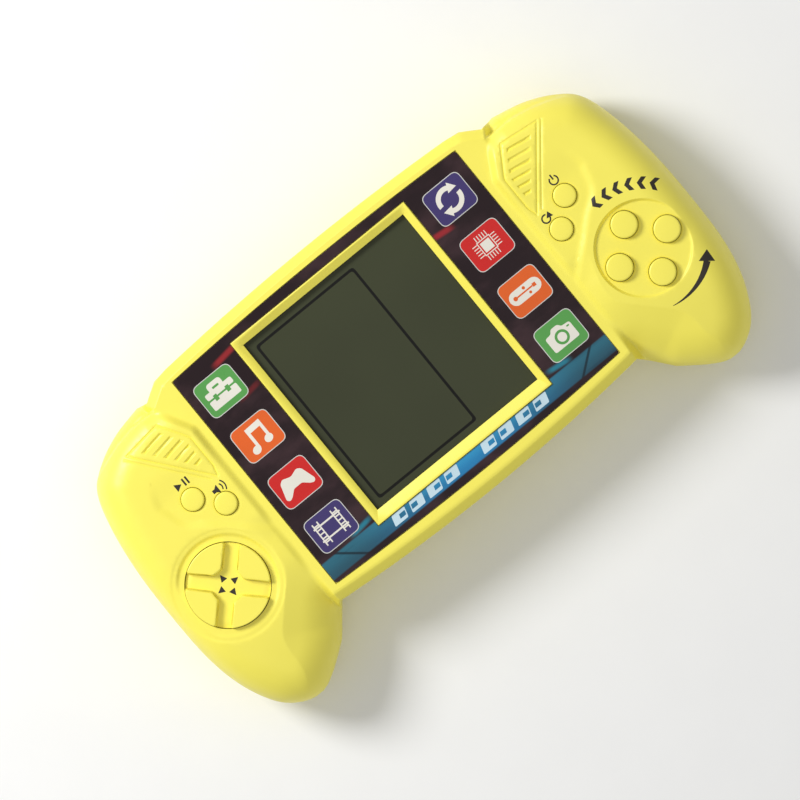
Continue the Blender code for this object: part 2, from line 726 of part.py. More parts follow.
def button(name, centre, radius, top):
    """Round key: pusher, flange under the shell, and a softly domed cap."""
    low, high = KEY_FLANGE_Z
    profile = [
        (0.0, DOME_TOP_Z + 0.3), (radius * 0.6, DOME_TOP_Z + 0.3), (radius * 0.6, low),
        (radius + KEY_FLANGE, low), (radius + KEY_FLANGE, high), (radius, high), (radius, top - 0.5),
        (radius - 0.6, top), (0.0, top + 0.15),
    ]
    made = turned(name, profile, centre, 12, (YELLOW, 0.4))
    set_origin(made, *centre, top)


def buttons():
    for name, (dx, dy) in action_offsets().items():
        button("action_button_" + name, (ACTION[0] + dx, ACTION[1] + dy), ACTION_R, 28.0)
    for name, centre in SMALL_KEYS.items():
        button(name + "_button", centre, SMALL_R, 27.5)


def dpad_wedge(turn, grow):
    """One raised quarter of the D-pad, between two channels and cut off short of the hub."""
    reach = (DPAD_R - 0.25) + min(grow, 0)
    half = DPAD_CHANNEL - grow
    hub = DPAD_HUB - grow
    start = math.asin(half / reach)
    arc = np.linspace(-math.pi / 4 + start, math.pi / 4 - start, 7)
    outer = np.column_stack([reach * np.cos(arc), reach * np.sin(arc)])
    width = hub - half * math.sqrt(2)
    loop = np.vstack([outer, [(hub, width), (hub, -width)]])
    c, s = math.cos(turn), math.sin(turn)
    return loop @ np.array([(c, s), (-s, c)]) + DPAD


def dpad():
    """One rocking disc with four raised wedges; channels run between them at 45 degrees."""
    top_z, floor_z = 28.1, 26.5
    turns = [i * math.pi / 2 for i in range(4)]
    wedges = [dpad_wedge(turn, 0.0) for turn in turns]
    feet = [dpad_wedge(turn, 0.3) for turn in turns]
    wedges = [wedge * 0.985 + np.array(DPAD) * 0.015 for wedge in wedges]
    loops = [*wedges, *feet, *stepped(circle, DPAD, DPAD_R, 28)]

    def upper(x, y):
        z = np.where(in_disc(x, y, DPAD, DPAD_R, 28), floor_z, 23.1)
        for wedge in wedges:
            middle = wedge.mean(axis=0)
            raised = inside(x, y, (wedge - middle) * 1.02 + middle)
            z = np.where(raised, top_z, z)
        return z

    def lower(x, y):
        return np.full(len(x), 22.5)

    outline = circle(DPAD, DPAD_FLANGE_R, 28)
    made = sheet("dpad", outline, loops, [], [DPAD], upper, lower, no_hole, (YELLOW, 0.4))
    set_origin(made, *DPAD, DPAD_PIVOT_Z)
    profile = [(0.0, 19.4), (1.0, 19.6), (1.8, 20.4), (2.0, 21.2), (2.0, 22.2), (0.0, 22.2)]
    nub = turned("dpad_pivot", profile, DPAD, 12, (YELLOW, 0.4))
    set_origin(nub, *DPAD, DPAD_PIVOT_Z)


def batteries():
    x = CELL_LENGTH / 2
    profile = [
        (0.0, -x), (CELL_R - 0.6, -x), (CELL_R, -x + 0.6), (CELL_R, x - 1.6), (CELL_R - 0.6, x - 1.0),
        (2.7, x - 1.0), (2.7, x), (0.0, x),
    ]
    look = ((0.25, 0.27, 0.3), 0.35, 0.6)
    lying_turned("battery_upper", profile, (0.4, CELL_Y, CELL_Z), 14, look)
    lying_turned("battery_lower", profile, (-0.4, -CELL_Y, CELL_Z), 14, look, flip=True)
    nickel = (NICKEL, 0.3, 1.0)
    end = BAY_SIZE[0] / 2 - 0.3
    block("contact_plate_positive", (end - 0.5, CELL_Y - 5, 3.5), (end, CELL_Y + 5, 15.5), nickel)
    block("contact_plate_negative", (end - 0.5, -CELL_Y - 5, 3.5), (end, -CELL_Y + 5, 15.5), nickel)
    block("contact_link", (-end, -CELL_Y - 5, 3.5), (-end + 0.5, CELL_Y + 5, 15.5), nickel)
    coil_spring("contact_spring_negative", end - 0.8, -CELL_Y, -1, 25.4)
    coil_spring("contact_spring_link", -end + 0.8, CELL_Y, 1, -24.9)


def coil_spring(name, start, y, sign, stop):
    """Conical spring that presses on a cell's flat end."""
    turns, per_turn, wire_r = 2.5, 9, 0.3
    count = int(turns * per_turn)
    length = abs(stop - start) - 2 * wire_r
    points = []
    for i in range(count + 1):
        share = i / count
        angle = share * turns * math.tau
        radius = 4.0 - 1.6 * share
        x = start + sign * (wire_r + share * length)
        points.append((x, y + radius * math.cos(angle), CELL_Z + radius * math.sin(angle)))
    wire(name, points, wire_r, (NICKEL, 0.3, 1.0), steps=1, resolution=0)


def electronics():
    bottom = MAIN_BOARD_Z[0] - 0.2
    dome = [(0.0, bottom - 1.3), (3.0, bottom - 1.1), (5.0, bottom - 0.6), (5.8, bottom), (0.0, bottom)]
    turned("chip_epoxy", dome, (-8.0, -24.0), 14, ((0.02, 0.02, 0.02), 0.3))
    can = [(0.0, 10.6), (2.3, 10.6), (2.5, 10.8), (2.5, bottom), (0.0, bottom)]
    turned("capacitor", can, (16.0, -24.0), 12, ((0.05, 0.06, 0.15), 0.4))
    rod = [(0.0, -3.0), (0.9, -3.0), (1.1, -2.2), (0.8, -1.6), (0.8, 1.6), (1.1, 2.2), (0.9, 3.0), (0.0, 3.0)]
    lying_turned("resistor", rod, (2.0, 24.0, bottom - 1.2), 10, ((0.7, 0.6, 0.42), 0.5))
    disc = [(0.0, 2.3), (BUZZER_R, 2.3), (BUZZER_R, 2.6), (7.0, 2.6), (7.0, 2.9), (0.0, 2.9)]
    turned("piezo_buzzer", disc, BUZZER, 20, ((0.75, 0.6, 0.25), 0.3, 1.0))


def leads():
    copper_red, copper_black = ((0.6, 0.02, 0.02), 0.45), ((0.02, 0.02, 0.02), 0.45)
    red = [(32.6, 9.0, 10.5), (33.5, 10.5, 11.2), (36.0, 14.0, 12.5), (36.0, 18.0, 16.0), (36.0, 18.6, 17.9)]
    black = [(32.6, -9.0, 10.5), (33.5, -10.5, 11.2), (36.0, -14.0, 12.5), (36.0, -17.5, 16.0), (36.0, -18.0, 17.9)]
    wire("power_lead_red", red, 0.55, copper_red)
    wire("power_lead_black", black, 0.55, copper_black)
    sound_red = [(60.0, -2.0, 3.6), (55.0, -1.0, 5.0), (48.0, 0.0, 9.0), (40.0, 0.5, 13.0), (36.6, 0.8, 17.9)]
    sound_black = [(60.0, -6.0, 3.6), (55.0, -5.0, 5.0), (48.0, -4.0, 9.0), (40.0, -3.5, 13.0), (36.6, -3.2, 17.9)]
    wire("buzzer_lead_red", sound_red, 0.45, copper_red)
    wire("buzzer_lead_black", sound_black, 0.45, copper_black)
    for side, word in ((-1, "left"), (1, "right")):
        ribbon(f"ribbon_{word}", side)


def ribbon(name, side):
    """Flat lead that droops between the main board and a key board."""
    start, end, width, thick = 35.5, 53.5, 9.0, 0.5
    share = np.linspace(0, 1, 9)
    x = start + (end - start) * share
    droop = 2.6 * np.sin(share * math.pi)
    z = (MAIN_BOARD_Z[0] - 0.3) * (1 - share) + (KEY_BOARD_Z[0] - 0.3) * share - droop
    outline = np.vstack([np.column_stack([x, x * 0 - width]), np.column_stack([x, x * 0])[::-1]])
    outline = outline * [side, 1] + [0, -4.0]
    if side < 0:
        outline = outline[::-1]
    crossings = [np.array([(side * px, -4.0 - width), (side * px, -4.0)]) for px in x[1:-1]]

    def upper(px, py):
        return np.interp(np.abs(px), x, z)

    def lower(px, py):
        return upper(px, py) - thick

    sheet(name, outline, crossings, [], [], upper, lower, no_hole, ((0.75, 0.75, 0.72), 0.5))


def build():
    for old in list(bpy.data.objects):
        bpy.data.objects.remove(old, do_unlink=True)
    front_shell()
    rear_shell()
    battery_door()
    graphic_panel()
    screen()
    boards()
    key_mats()
    buttons()
    dpad()
    batteries()
    electronics()
    leads()
    screws()


build()
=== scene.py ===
"""Looks of the handheld LCD game: fine shells, keys, printed panel, screen and inner parts.

Plans and heights are in millimetres, measured from the middle of the graphic panel: x to the
right, y towards the shoulders, z out of the screen. put() turns them into the row frame's metres.
"""

import json
import math

import bpy
import numpy as np
from mathutils import Matrix, Vector
from mathutils.geometry import delaunay_2d_cdt
from mathutils.kdtree import KDTree


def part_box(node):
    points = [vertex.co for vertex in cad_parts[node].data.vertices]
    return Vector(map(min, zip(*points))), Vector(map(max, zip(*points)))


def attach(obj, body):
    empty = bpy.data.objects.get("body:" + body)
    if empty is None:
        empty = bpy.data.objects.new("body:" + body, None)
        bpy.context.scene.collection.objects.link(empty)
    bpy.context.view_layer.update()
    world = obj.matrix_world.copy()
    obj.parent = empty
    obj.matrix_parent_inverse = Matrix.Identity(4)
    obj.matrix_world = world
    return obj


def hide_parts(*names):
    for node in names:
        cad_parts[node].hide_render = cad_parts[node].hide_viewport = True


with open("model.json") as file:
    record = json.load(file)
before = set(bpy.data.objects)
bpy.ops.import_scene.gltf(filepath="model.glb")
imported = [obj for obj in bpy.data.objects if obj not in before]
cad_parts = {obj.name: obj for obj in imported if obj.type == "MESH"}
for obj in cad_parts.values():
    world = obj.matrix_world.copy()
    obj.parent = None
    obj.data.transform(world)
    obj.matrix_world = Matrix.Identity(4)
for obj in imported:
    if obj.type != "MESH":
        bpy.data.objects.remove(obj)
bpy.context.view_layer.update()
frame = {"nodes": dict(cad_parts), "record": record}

MM = 0.001
SHIFT = 6.75  # the row's origin lies this far below the panel's middle
STEP = 0.03  # half the width of an upright step

# Shells
SPLIT_Z = 13.5
SEAM = 0.15
FACE_Z = 25.6
GRIP_Z = 27.4
BAR_Z = 21.0
WALL = 1.8
SKIN = 2.0
GRIP_X = 48.6
GRIP_RAMP = 2.2
RAMP_BEND_Y = 21.0  # above this height in the plan the ramp's foot leans outwards
RAMP_LEAN = 0.557
RAMP_COS = 0.874
BACK_ROUND = 8.0
ROUNDNESS = 2.4
PANEL_SIZE = (93.0, 66.0)
PANEL_Y = 0.2
PANEL_ARCH = 1.2
PANEL_FLOOR_Z = 24.9
FIT = 0.2
WINDOW = ((-0.25, 2.1), (52.7, 54.2))
BEZEL = ((-0.3, 1.65), (57.0, 59.7))
BEZEL_Z = 26.05
BEZEL_FOOT_Z = 24.8
BEVEL = (2.5, 2.0)  # how far in the bevel round the middle part runs, and its drop
BASIN_Z = 26.5
SHELF_DROP = 0.6  # how far the shelf round the small keys lies below the grip
KEY_GAP = 0.16
DPAD_GAP = 0.2
POST_R = 3.3
POST_HOLE_R = 1.5
BOARD_POST_R = 2.4
BOARD_HOLE_R = 1.2
SCREW_WELL_R = 3.0
SCREW_HOLE_R = 1.6
WELL_WALL = 1.3
SCREW_SHELF_Z = 9.5
BAY_SIZE = (61.0, 30.6)
BAY_ROOF_Z = 16.8
BAY_WALL = 1.2
DOOR_SIZE = (64.4, 34.0)
DOOR_LEDGE_Z = 2.15
DOOR_TAB = (0.0, 20.6)
DOOR_TAB_SIZE = (11.0, 9.0)
DOOR_POST_R = 3.0
DOOR_HOLE_R = 1.4


def span(node):
    """A CAD node's box, in this script's millimetres."""
    low, high = (np.array(corner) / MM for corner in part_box(node))
    return low - [0, SHIFT, 0], high - [0, SHIFT, 0]


def middle(node):
    low, high = span(node)
    return tuple(((low + high) / 2)[:2])


DPAD = middle("dpad")
DPAD_R = 11.0
DPAD_RING_R = 13.6
ACTION_KEYS = {f"action_button_{word}": 3.5 for word in ("up", "left", "right", "down")}
SMALL_KEYS = {f"{word}_button": 3.0 for word in ("start", "sound", "power", "reset")}
KEYS = {**ACTION_KEYS, **SMALL_KEYS}
ACTION = tuple(np.mean([middle(name) for name in ACTION_KEYS], axis=0))
DISH_R = 12.7
KEY_RIM = 0.5
FLANGE_Z = (23.2, 24.0)
CHANNEL_HALF = 1.85  # half the width of the D-pad's channels
CHANNEL_DEPTH = 2.1
WEDGE_ROUND = 0.55
HUB = 4.0
GAME_FIELD = ((-8.4, 1.9), (32.2, 50.2))
SOUND_SLOT_R = 0.6
SHELL_SCREWS = [name for name in frame["nodes"] if name.startswith("shell_screw")]
BOARD_SCREWS = [name for name in frame["nodes"] if "board_screw" in name]
BUZZER = middle("piezo_buzzer")


# ---------- lines in the plan ----------


def spline(points, steps):
    """Smooth open curve through the points, with this many steps between each two."""
    p = np.array([points[0], *points, points[-1]], float)
    t = np.linspace(0, 1, steps, endpoint=False)[:, None]
    runs = []
    for a, b, c, d in zip(p, p[1:], p[2:], p[3:]):
        bend = (2 * a - 5 * b + 4 * c - d) * t**2 + (3 * b - a - 3 * c + d) * t**3
        runs.append(0.5 * (2 * b + (c - a) * t + bend))
    return np.vstack([*runs, p[-1:]])


def divided(line, spacing):
    """The line with points no farther apart than the spacing."""
    line = np.asarray(line, float)
    runs = []
    for a, b in zip(line, line[1:]):
        count = max(1, math.ceil(np.linalg.norm(b - a) / spacing))
        runs.append(a + (b - a) * np.arange(count)[:, None] / count)
    return np.vstack([*runs, line[-1:]])


def half_outline():
    """Right half, from the middle of the top edge clockwise to the middle of the bottom edge."""
    x = np.linspace(0, 46, 24)
    top = np.column_stack([x, 38.6 - 1.6 * (x / 46.0) ** 2])
    corner = spline([(50.2, 36.4), (53.0, 34.7), (55.2, 33.3)], 4)
    grip = spline(
        [
            (58.8, 34.2), (67.6, 32.2), (75.2, 28.6), (80.3, 23.8), (83.3, 14.5), (85.1, 2.0),
            (85.6, -12.0), (85.1, -27.0), (82.8, -38.0), (78.4, -46.8), (73.0, -51.2),
            (67.6, -52.2), (62.4, -49.9), (55.4, -44.9),
        ],
        10,
    )
    x = np.linspace(48.9, 0, 25)
    bottom = np.column_stack([x, -39.4 + 2.4 * (x / 48.9) ** 2])
    return divided(np.vstack([top, corner, grip, bottom]), 1.6)


def full_outline():
    right = half_outline()
    whole = np.vstack([right, right[-2:0:-1] * [-1, 1]])[::-1]
    return np.clip(whole, [-85.6, -52.2], [85.6, 38.6])


OUTLINE = full_outline()


def edge_distance(x, y, line=OUTLINE):
    """Distance from each point to a closed line, the shells' outline unless another is given."""
    along = np.roll(line, -1, axis=0) - line
    length = (along**2).sum(-1)
    found = []
    for part in np.array_split(np.column_stack([x, y]), max(1, len(x) // 4000)):
        from_a = part[:, None, :] - line
        t = np.clip((from_a * along).sum(-1) / length, 0, 1)
        found.append(np.sqrt(((from_a - t[..., None] * along) ** 2).sum(-1).min(axis=1)))
    return np.concatenate(found)


def inside(x, y, line):
    found = np.zeros(len(x), bool)
    low, high = line.min(axis=0), line.max(axis=0)
    near = (x >= low[0]) & (x <= high[0]) & (y >= low[1]) & (y <= high[1])
    for part in np.array_split(np.flatnonzero(near), 1 + near.sum() // 20000):
        px, py = x[part][:, None], y[part][:, None]
        a, b = line, np.roll(line, -1, axis=0)
        crosses = (a[:, 1] > py) != (b[:, 1] > py)
        rise = np.where(a[:, 1] == b[:, 1], 1, b[:, 1] - a[:, 1])
        cut = a[:, 0] + (py - a[:, 1]) / rise * (b[:, 0] - a[:, 0])
        found[part] = (crosses & (px < cut)).sum(axis=1) % 2
    return found


def right_of(x, y, line):
    """Signed distance to an open line, positive on the right of its direction."""
    a, along = line[:-1], np.diff(line, axis=0)
    from_a = np.column_stack([x, y])[:, None, :] - a
    t = np.clip((from_a * along).sum(-1) / (along**2).sum(-1), 0, 1)
    gap = from_a - t[..., None] * along
    distance = np.sqrt((gap**2).sum(-1))
    nearest = distance.argmin(axis=1)
    rows = np.arange(len(x))
    cross = along[nearest, 0] * gap[rows, nearest, 1] - along[nearest, 1] * gap[rows, nearest, 0]
    return np.where(cross > 0, -1, 1) * distance[rows, nearest]


def moved(line, distance):
    """An open line shifted to its right."""
    ahead = np.gradient(line, axis=0)
    ahead /= np.linalg.norm(ahead, axis=1)[:, None]
    return line + distance * np.column_stack([ahead[:, 1], -ahead[:, 0]])


def mirrored(lines):
    return [line * [side, 1] for line in lines for side in (1, -1)]


def rounded(t):
    """Quarter of a soft-cornered oval: 0 at the edge, 1 from t = 1 inwards."""
    t = np.clip(t, 0, 1)
    return (1 - (1 - t) ** ROUNDNESS) ** (1 / ROUNDNESS)


def ease(t):
    t = np.clip(t, 0, 1)
    return t * t * (3 - 2 * t)


def ring(centre, radius, sides=64):
    a = np.arange(sides) * math.tau / sides
    return np.column_stack([centre[0] + radius * np.cos(a), centre[1] + radius * np.sin(a)])


def box(centre, size, grow=0.0):
    return np.array([(-1, -1), (1, -1), (1, 1), (-1, 1)]) * (np.array(size) / 2 + grow) + centre


def in_box(x, y, centre, size, grow=0.0):
    return (np.abs(x - centre[0]) < size[0] / 2 + grow) & (np.abs(y - centre[1]) < size[1] / 2 + grow)


def softened(points, radius, steps=4):
    """A closed polygon with its corners rounded."""
    points = np.asarray(points, float)
    t = np.linspace(0, 1, steps + 1)[:, None]
    made = []
    for before, corner, after in zip(np.roll(points, 1, axis=0), points, np.roll(points, -1, axis=0)):
        ends = []
        for other in (before, after):
            reach = np.linalg.norm(other - corner)
            ends.append(corner + (other - corner) * min(radius, 0.45 * reach) / reach)
        made.append((1 - t) ** 2 * ends[0] + 2 * t * (1 - t) * corner + t**2 * ends[1])
    return np.vstack(made)


def in_disc(x, y, centre, radius):
    return np.hypot(x - centre[0], y - centre[1]) < radius


def capsule(a, b, radius, sides=8):
    """Loop round a segment, with round ends."""
    a, b = np.array(a, float), np.array(b, float)
    lean = math.atan2(*(b - a)[::-1])
    turn = np.linspace(-math.pi / 2, math.pi / 2, sides + 1)
    ends = [
        np.column_stack([np.cos(lean + half + turn), np.sin(lean + half + turn)]) * radius + end
        for half, end in ((0, b), (math.pi, a))
    ]
    return np.vstack(ends)


def from_segment(x, y, a, b):
    a, along = np.array(a, float), np.subtract(b, a)
    dx, dy = x - a[0], y - a[1]
    t = np.clip((dx * along[0] + dy * along[1]) / (along @ along), 0, 1)
    return np.hypot(dx - t * along[0], dy - t * along[1])


def stepped(shape, centre, size, grow=0.0):
    """A shape's loop twice, just inside and just outside an upright step."""
    if shape is ring:
        return [ring(centre, size + s, 32) for s in (-STEP, STEP)]
    return [box(centre, size, grow + s) for s in (-STEP, STEP)]


def panel_loop(grow):
    x = np.linspace(-1, 1, 41) * (PANEL_SIZE[0] / 2 + grow)
    y = PANEL_SIZE[1] / 2 + PANEL_ARCH * (1 - (x / (PANEL_SIZE[0] / 2)) ** 2) + grow
    return np.vstack([np.column_stack([x, PANEL_Y - y]), np.column_stack([x, PANEL_Y + y])[::-1]])


def on_panel(x, y, grow):
    arch = PANEL_ARCH * (1 - (x / (PANEL_SIZE[0] / 2)) ** 2)
    tall = PANEL_SIZE[1] / 2 + arch + grow
    return (np.abs(x) < PANEL_SIZE[0] / 2 + grow) & (np.abs(y - PANEL_Y) < tall)


# Feature lines of the right grip; the left one mirrors them
SHELF_EDGE = spline(
    [(66.5, 20), (69.2, 11.7), (68.9, 8.6), (67, 3.2), (62.2, -0.5), (57.3, -5), (49.5, -12)], 8
)
CREASE = spline(
    [
        (58.5, -4.5), (54.8, -13.0), (53.9, -21.3), (60.0, -28.5), (65.0, -33.9), (66.5, -37.9),
        (67.2, -44.7), (69.4, -49.4), (71.5, -54.0),
    ],
    8,
)
VENT = np.array(
    [(56.6, 27.3), (67.5, 26.0), (52.5, 7.4), (51.7, 10.2), (51.7, 19.3), (52.3, 20.5), (56.6, 27.3)]
)
VENT_RIM = np.array([(68.6, 25.6), (54.4, 7.9)])
BAR_EDGE = np.array([(55.0, 30.3), (63.0, 30.3), (68.0, 29.3), (72.5, 27.9), (77.4, 26.1), (80.0, 26.1)])
LINE_HALF = 0.4
VENT_DEPTH = 0.28  # of the line round the louvre panel
RIM_DEPTH = 0.22
SLOT_DEPTH = 0.5
SLOT_EDGE = 0.54  # how far in from its edges a slot reaches its depth
SLOT_PITCH = 2.28


def vent_slots():
    """Four corners of each louvre slot; they lean a little and shorten towards the point."""
    slots = []
    for i in range(6):
        corners = []
        for high in (25.5 - SLOT_PITCH * i, 24.35 - SLOT_PITCH * i):
            left = np.interp(high, [19.4, 26.5], [53.0, 57.7])
            right = left
            for _ in range(8):
                right = 53.8 + 0.803 * (high - 0.16 * (right - left) - 11.2)
            corners.append([(left, high), (right, high - 0.16 * (right - left))])
        slots.append(np.array([corners[1][0], corners[1][1], corners[0][1], corners[0][0]]))
    return slots


def depth_in(x, y, corners):
    """How far inside a convex shape each point is; its corners run anticlockwise."""
    sides = []
    for a, b in zip(corners, np.roll(corners, -1, axis=0)):
        along = (b - a) / np.linalg.norm(b - a)
        sides.append(along[0] * (y - a[1]) - along[1] * (x - a[0]))
    return np.minimum.reduce(sides)


# ---------- heights of the shells ----------


def grip_share(x, y):
    """0 on the middle part, 1 on a grip, with a ramp between them."""
    straight = np.abs(x) - GRIP_X
    slanted = (straight - RAMP_LEAN * (y - RAMP_BEND_Y)) * RAMP_COS
    return ease(np.minimum(straight, slanted) / GRIP_RAMP)


def bar_share(x, y, inward=0.0):
    """1 on a shoulder bar, 0 elsewhere."""
    edge = np.interp(np.abs(x), *BAR_EDGE.T)
    return ease(y - edge + inward) * ease((np.abs(x) - 52.5) / 1.5)


def grip_height(x, y):
    """The grips fall away towards their ends, and more on the inner side of the crease."""
    fall = 5.5 * np.clip((-20.0 - y) / 32.0, 0, 1) ** 1.7
    beyond = np.clip(right_of(np.abs(x), y, CREASE), 0, 12)
    return GRIP_Z - fall - 0.26 * beyond * ease((-6.0 - y) / 8.0)


def front_form(x, y, d, wall, skin):
    """Height of the front shell's form, moved inwards by a wall and down by a skin."""
    d = np.maximum(d - wall, 0)
    base = SPLIT_Z + SEAM
    grip_round = 10.0 if wall == 0 else 6.0
    flat = FACE_Z - skin - BEVEL[1] * (1 - np.clip(d / BEVEL[0], 0, 1)) - 0.5 * (1 - rounded(d / 0.5))
    grip = base + (grip_height(x, y) - skin - base) * rounded(d / grip_round)
    bar = base + (BAR_Z - skin - base) * rounded(d / 3.5)
    share = bar_share(x, y, inward=wall)
    grip = grip * (1 - share) + bar * share
    share = grip_share(x, y)
    return flat * (1 - share) + grip * share


def moulded_lines(x, y):
    """How far the louvre panel, its outline and its slots are sunk into the grips."""
    x = np.abs(x)
    deep = np.zeros(len(x))
    near = (x > 50) & (x < 71) & (y > 5) & (y < 29)
    px, py = x[near], y[near]
    groove = np.full(len(px), np.inf)
    for a, b in zip(VENT, VENT[1:]):
        groove = np.minimum(groove, from_segment(px, py, a, b))
    sunk = VENT_DEPTH * ease((LINE_HALF - groove) / LINE_HALF)
    rim = from_segment(px, py, *VENT_RIM)
    sunk = np.maximum(sunk, RIM_DEPTH * ease((LINE_HALF - rim) / LINE_HALF))
    for corners in vent_slots():
        sunk = np.maximum(sunk, SLOT_DEPTH * ease(depth_in(px, py, corners) / SLOT_EDGE))
    deep[near] = sunk
    return deep


def front_outside(x, y, d):
    z = front_form(x, y, d, 0, 0)
    shelf = ease((right_of(np.abs(x), y, SHELF_EDGE) + 1.3) / 2.6) * (1 - ease((y - 9.0) / 9.0))
    z = z - SHELF_DROP * shelf * grip_share(x, y) * ease((y + 16) / 6)
    z = z - 0.22 * ease((14.9 - np.hypot(x - DPAD[0], y - DPAD[1])) / 0.8)
    for centre, radius, soft in ((DPAD, DPAD_RING_R, 1.2), (ACTION, DISH_R, 0.7)):
        r = np.hypot(x - centre[0], y - centre[1])
        z = z + (np.minimum(z, BASIN_Z) - z) * ease((radius - r) / soft)
    for name, radius in KEYS.items():
        r = np.hypot(*(np.array([x, y]) - np.array(middle(name))[:, None]))
        z = z - 0.12 * ease((radius + KEY_GAP + 0.3 - r) / 0.3)
    z = z - moulded_lines(x, y)
    below = (y < -30) & (np.abs(x) < 49)
    z = np.where(below, z - 0.10 * ease((0.3 - np.abs(d - 2.55)) / 0.3), z)
    z = np.where(on_panel(x, y, FIT), PANEL_FLOOR_Z, z)
    return np.where(in_box(x, y, *BEZEL), bezel_height(x, y), z)


def bezel_height(x, y):
    """A rim round the screen that slopes down into the window."""
    (bx, by), (wide, tall) = BEZEL
    (wx, wy), (open_wide, open_tall) = WINDOW
    shares = []
    for v, b, w, size, hole in ((x, bx, wx, wide, open_wide), (y, by, wy, tall, open_tall)):
        for sign in (-1, 1):
            outer = b + sign * size / 2
            inner = w + sign * hole / 2
            shares.append((v - outer) / (inner - outer))
    across = np.clip(np.minimum.reduce(shares), 0, 1)
    lip = 0.14
    edge = 0.12 * (1 - rounded(across / lip))
    return BEZEL_Z - edge - (BEZEL_Z - BEZEL_FOOT_Z) * np.clip((across - lip) / (1 - lip), 0, 1)


def front_inside(x, y, d):
    z = front_form(x, y, d, WALL, SKIN)
    rounds = [(DPAD, DPAD_RING_R), (ACTION, DISH_R)] + [(middle(name), 5.0) for name in SMALL_KEYS]
    for centre, radius in rounds:
        z = np.where(in_disc(x, y, centre, radius + 1.0), np.minimum(z, BASIN_Z - WALL), z)
    z = np.where(on_panel(x, y, 1.5), np.minimum(z, PANEL_FLOOR_Z - 1.3), z)
    for name in SHELL_SCREWS:
        z = np.where(in_disc(x, y, middle(name), POST_R), SPLIT_Z + SEAM, z)
        z = np.where(in_disc(x, y, middle(name), POST_HOLE_R), 21.0, z)
    for name in BOARD_SCREWS:
        z = np.where(in_disc(x, y, middle(name), BOARD_POST_R), post_foot(name), z)
        z = np.where(in_disc(x, y, middle(name), BOARD_HOLE_R), 22.6, z)
    z = np.where(d < WALL, SPLIT_Z + SEAM, z)
    return np.where((d > 1.0) & (d < WALL), SPLIT_Z - 0.9, z)


def post_foot(name):
    """Bottom of the post that a board's screw runs into, just above that board."""
    board = "main_board" if name.startswith("main") else "key_board_left"
    return span(board)[1][2] + 0.3


def back_form(d, wall, skin):
    top = SPLIT_Z - SEAM
    return top - (top - skin) * rounded(np.maximum(d - wall, 0) / (BACK_ROUND - wall))


def back_outside(x, y, d):
    z = back_form(d, 0, 0)
    for name in SHELL_SCREWS:
        z = np.where(in_disc(x, y, middle(name), SCREW_WELL_R), SCREW_SHELF_Z, z)
    door = in_box(x, y, (0, 0), DOOR_SIZE, FIT) | in_box(x, y, DOOR_TAB, DOOR_TAB_SIZE, FIT)
    z = np.where(door, DOOR_LEDGE_Z, z)
    z = np.where(in_disc(x, y, DOOR_TAB, DOOR_HOLE_R), 8.0, z)
    return np.where(in_box(x, y, (0, 0), BAY_SIZE), BAY_ROOF_Z, z)


def back_inside(x, y, d):
    z = back_form(d, WALL, SKIN)
    door = in_box(x, y, (0, 0), DOOR_SIZE, 1.5) | in_box(x, y, DOOR_TAB, DOOR_TAB_SIZE, 1.5)
    z = np.where(door, np.maximum(z, DOOR_LEDGE_Z + 1.5), z)
    z = np.where(in_disc(x, y, DOOR_TAB, DOOR_POST_R), 9.4, z)
    z = np.where(in_box(x, y, (0, 0), BAY_SIZE, BAY_WALL), BAY_ROOF_Z + BAY_WALL, z)
    for name in SHELL_SCREWS:
        z = np.where(in_disc(x, y, middle(name), POST_R + WELL_WALL), SPLIT_Z - SEAM, z)
    z = np.where(d < WALL, SPLIT_Z - SEAM, z)
    return np.where((d > 0.85) & (d < WALL), SPLIT_Z - 1.2, z)


# ---------- making meshes ----------


def put(node, shape, slot, body="housing", looks=(), sharp=35):
    """Puts a fine piece on a body in place of a CAD node.

    The shape is points in millimetres, faces and, with several looks, each face's number in them.
    """
    points, faces, *numbers = shape
    mesh = bpy.data.meshes.new(node + "_fine")
    at = (np.asarray(points, float) + [0, SHIFT, 0]) * MM
    mesh.from_pydata(at.tolist(), [], faces)
    for look in looks or [LOOKS[slot]]:
        mesh.materials.append(look)
    if looks:
        mesh.polygons.foreach_set("material_index", numbers[0])
    mesh.shade_smooth()
    mesh.set_sharp_from_angle(angle=math.radians(sharp))
    made = bpy.data.objects.new(node + "_fine", mesh)
    bpy.context.scene.collection.objects.link(made)
    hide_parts(node)
    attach(made, body)


def insets(distances):
    """The outline moved inwards, as runs that break where it would fold over itself."""
    ahead = np.roll(OUTLINE, -1, axis=0) - np.roll(OUTLINE, 1, axis=0)
    normal = np.column_stack([-ahead[:, 1], ahead[:, 0]]) / np.linalg.norm(ahead, axis=1)[:, None]
    runs = []
    for distance in distances:
        line = OUTLINE + normal * distance
        kept = edge_distance(*line.T) > 0.985 * distance
        if kept.all():
            runs.append(np.vstack([line, line[:1]]))
            continue
        start = int(np.flatnonzero(~kept)[0])
        line, kept = np.roll(line, -start, axis=0), np.roll(kept, -start)
        pieces = np.split(np.arange(len(kept)), np.flatnonzero(np.diff(kept)) + 1)
        runs += [line[piece] for piece in pieces if kept[piece[0]] and len(piece) > 1]
    return [divided(run, 1.2) for run in runs]


def lattice(low, high, spacing):
    """Plan points in a triangular grid."""
    rows = np.arange(low[1], high[1], spacing * 0.866)
    x = np.arange(low[0], high[0], spacing)
    dots = [np.column_stack([x + spacing / 2 * (i % 2), np.full(len(x), y)]) for i, y in enumerate(rows)]
    return np.vstack(dots)


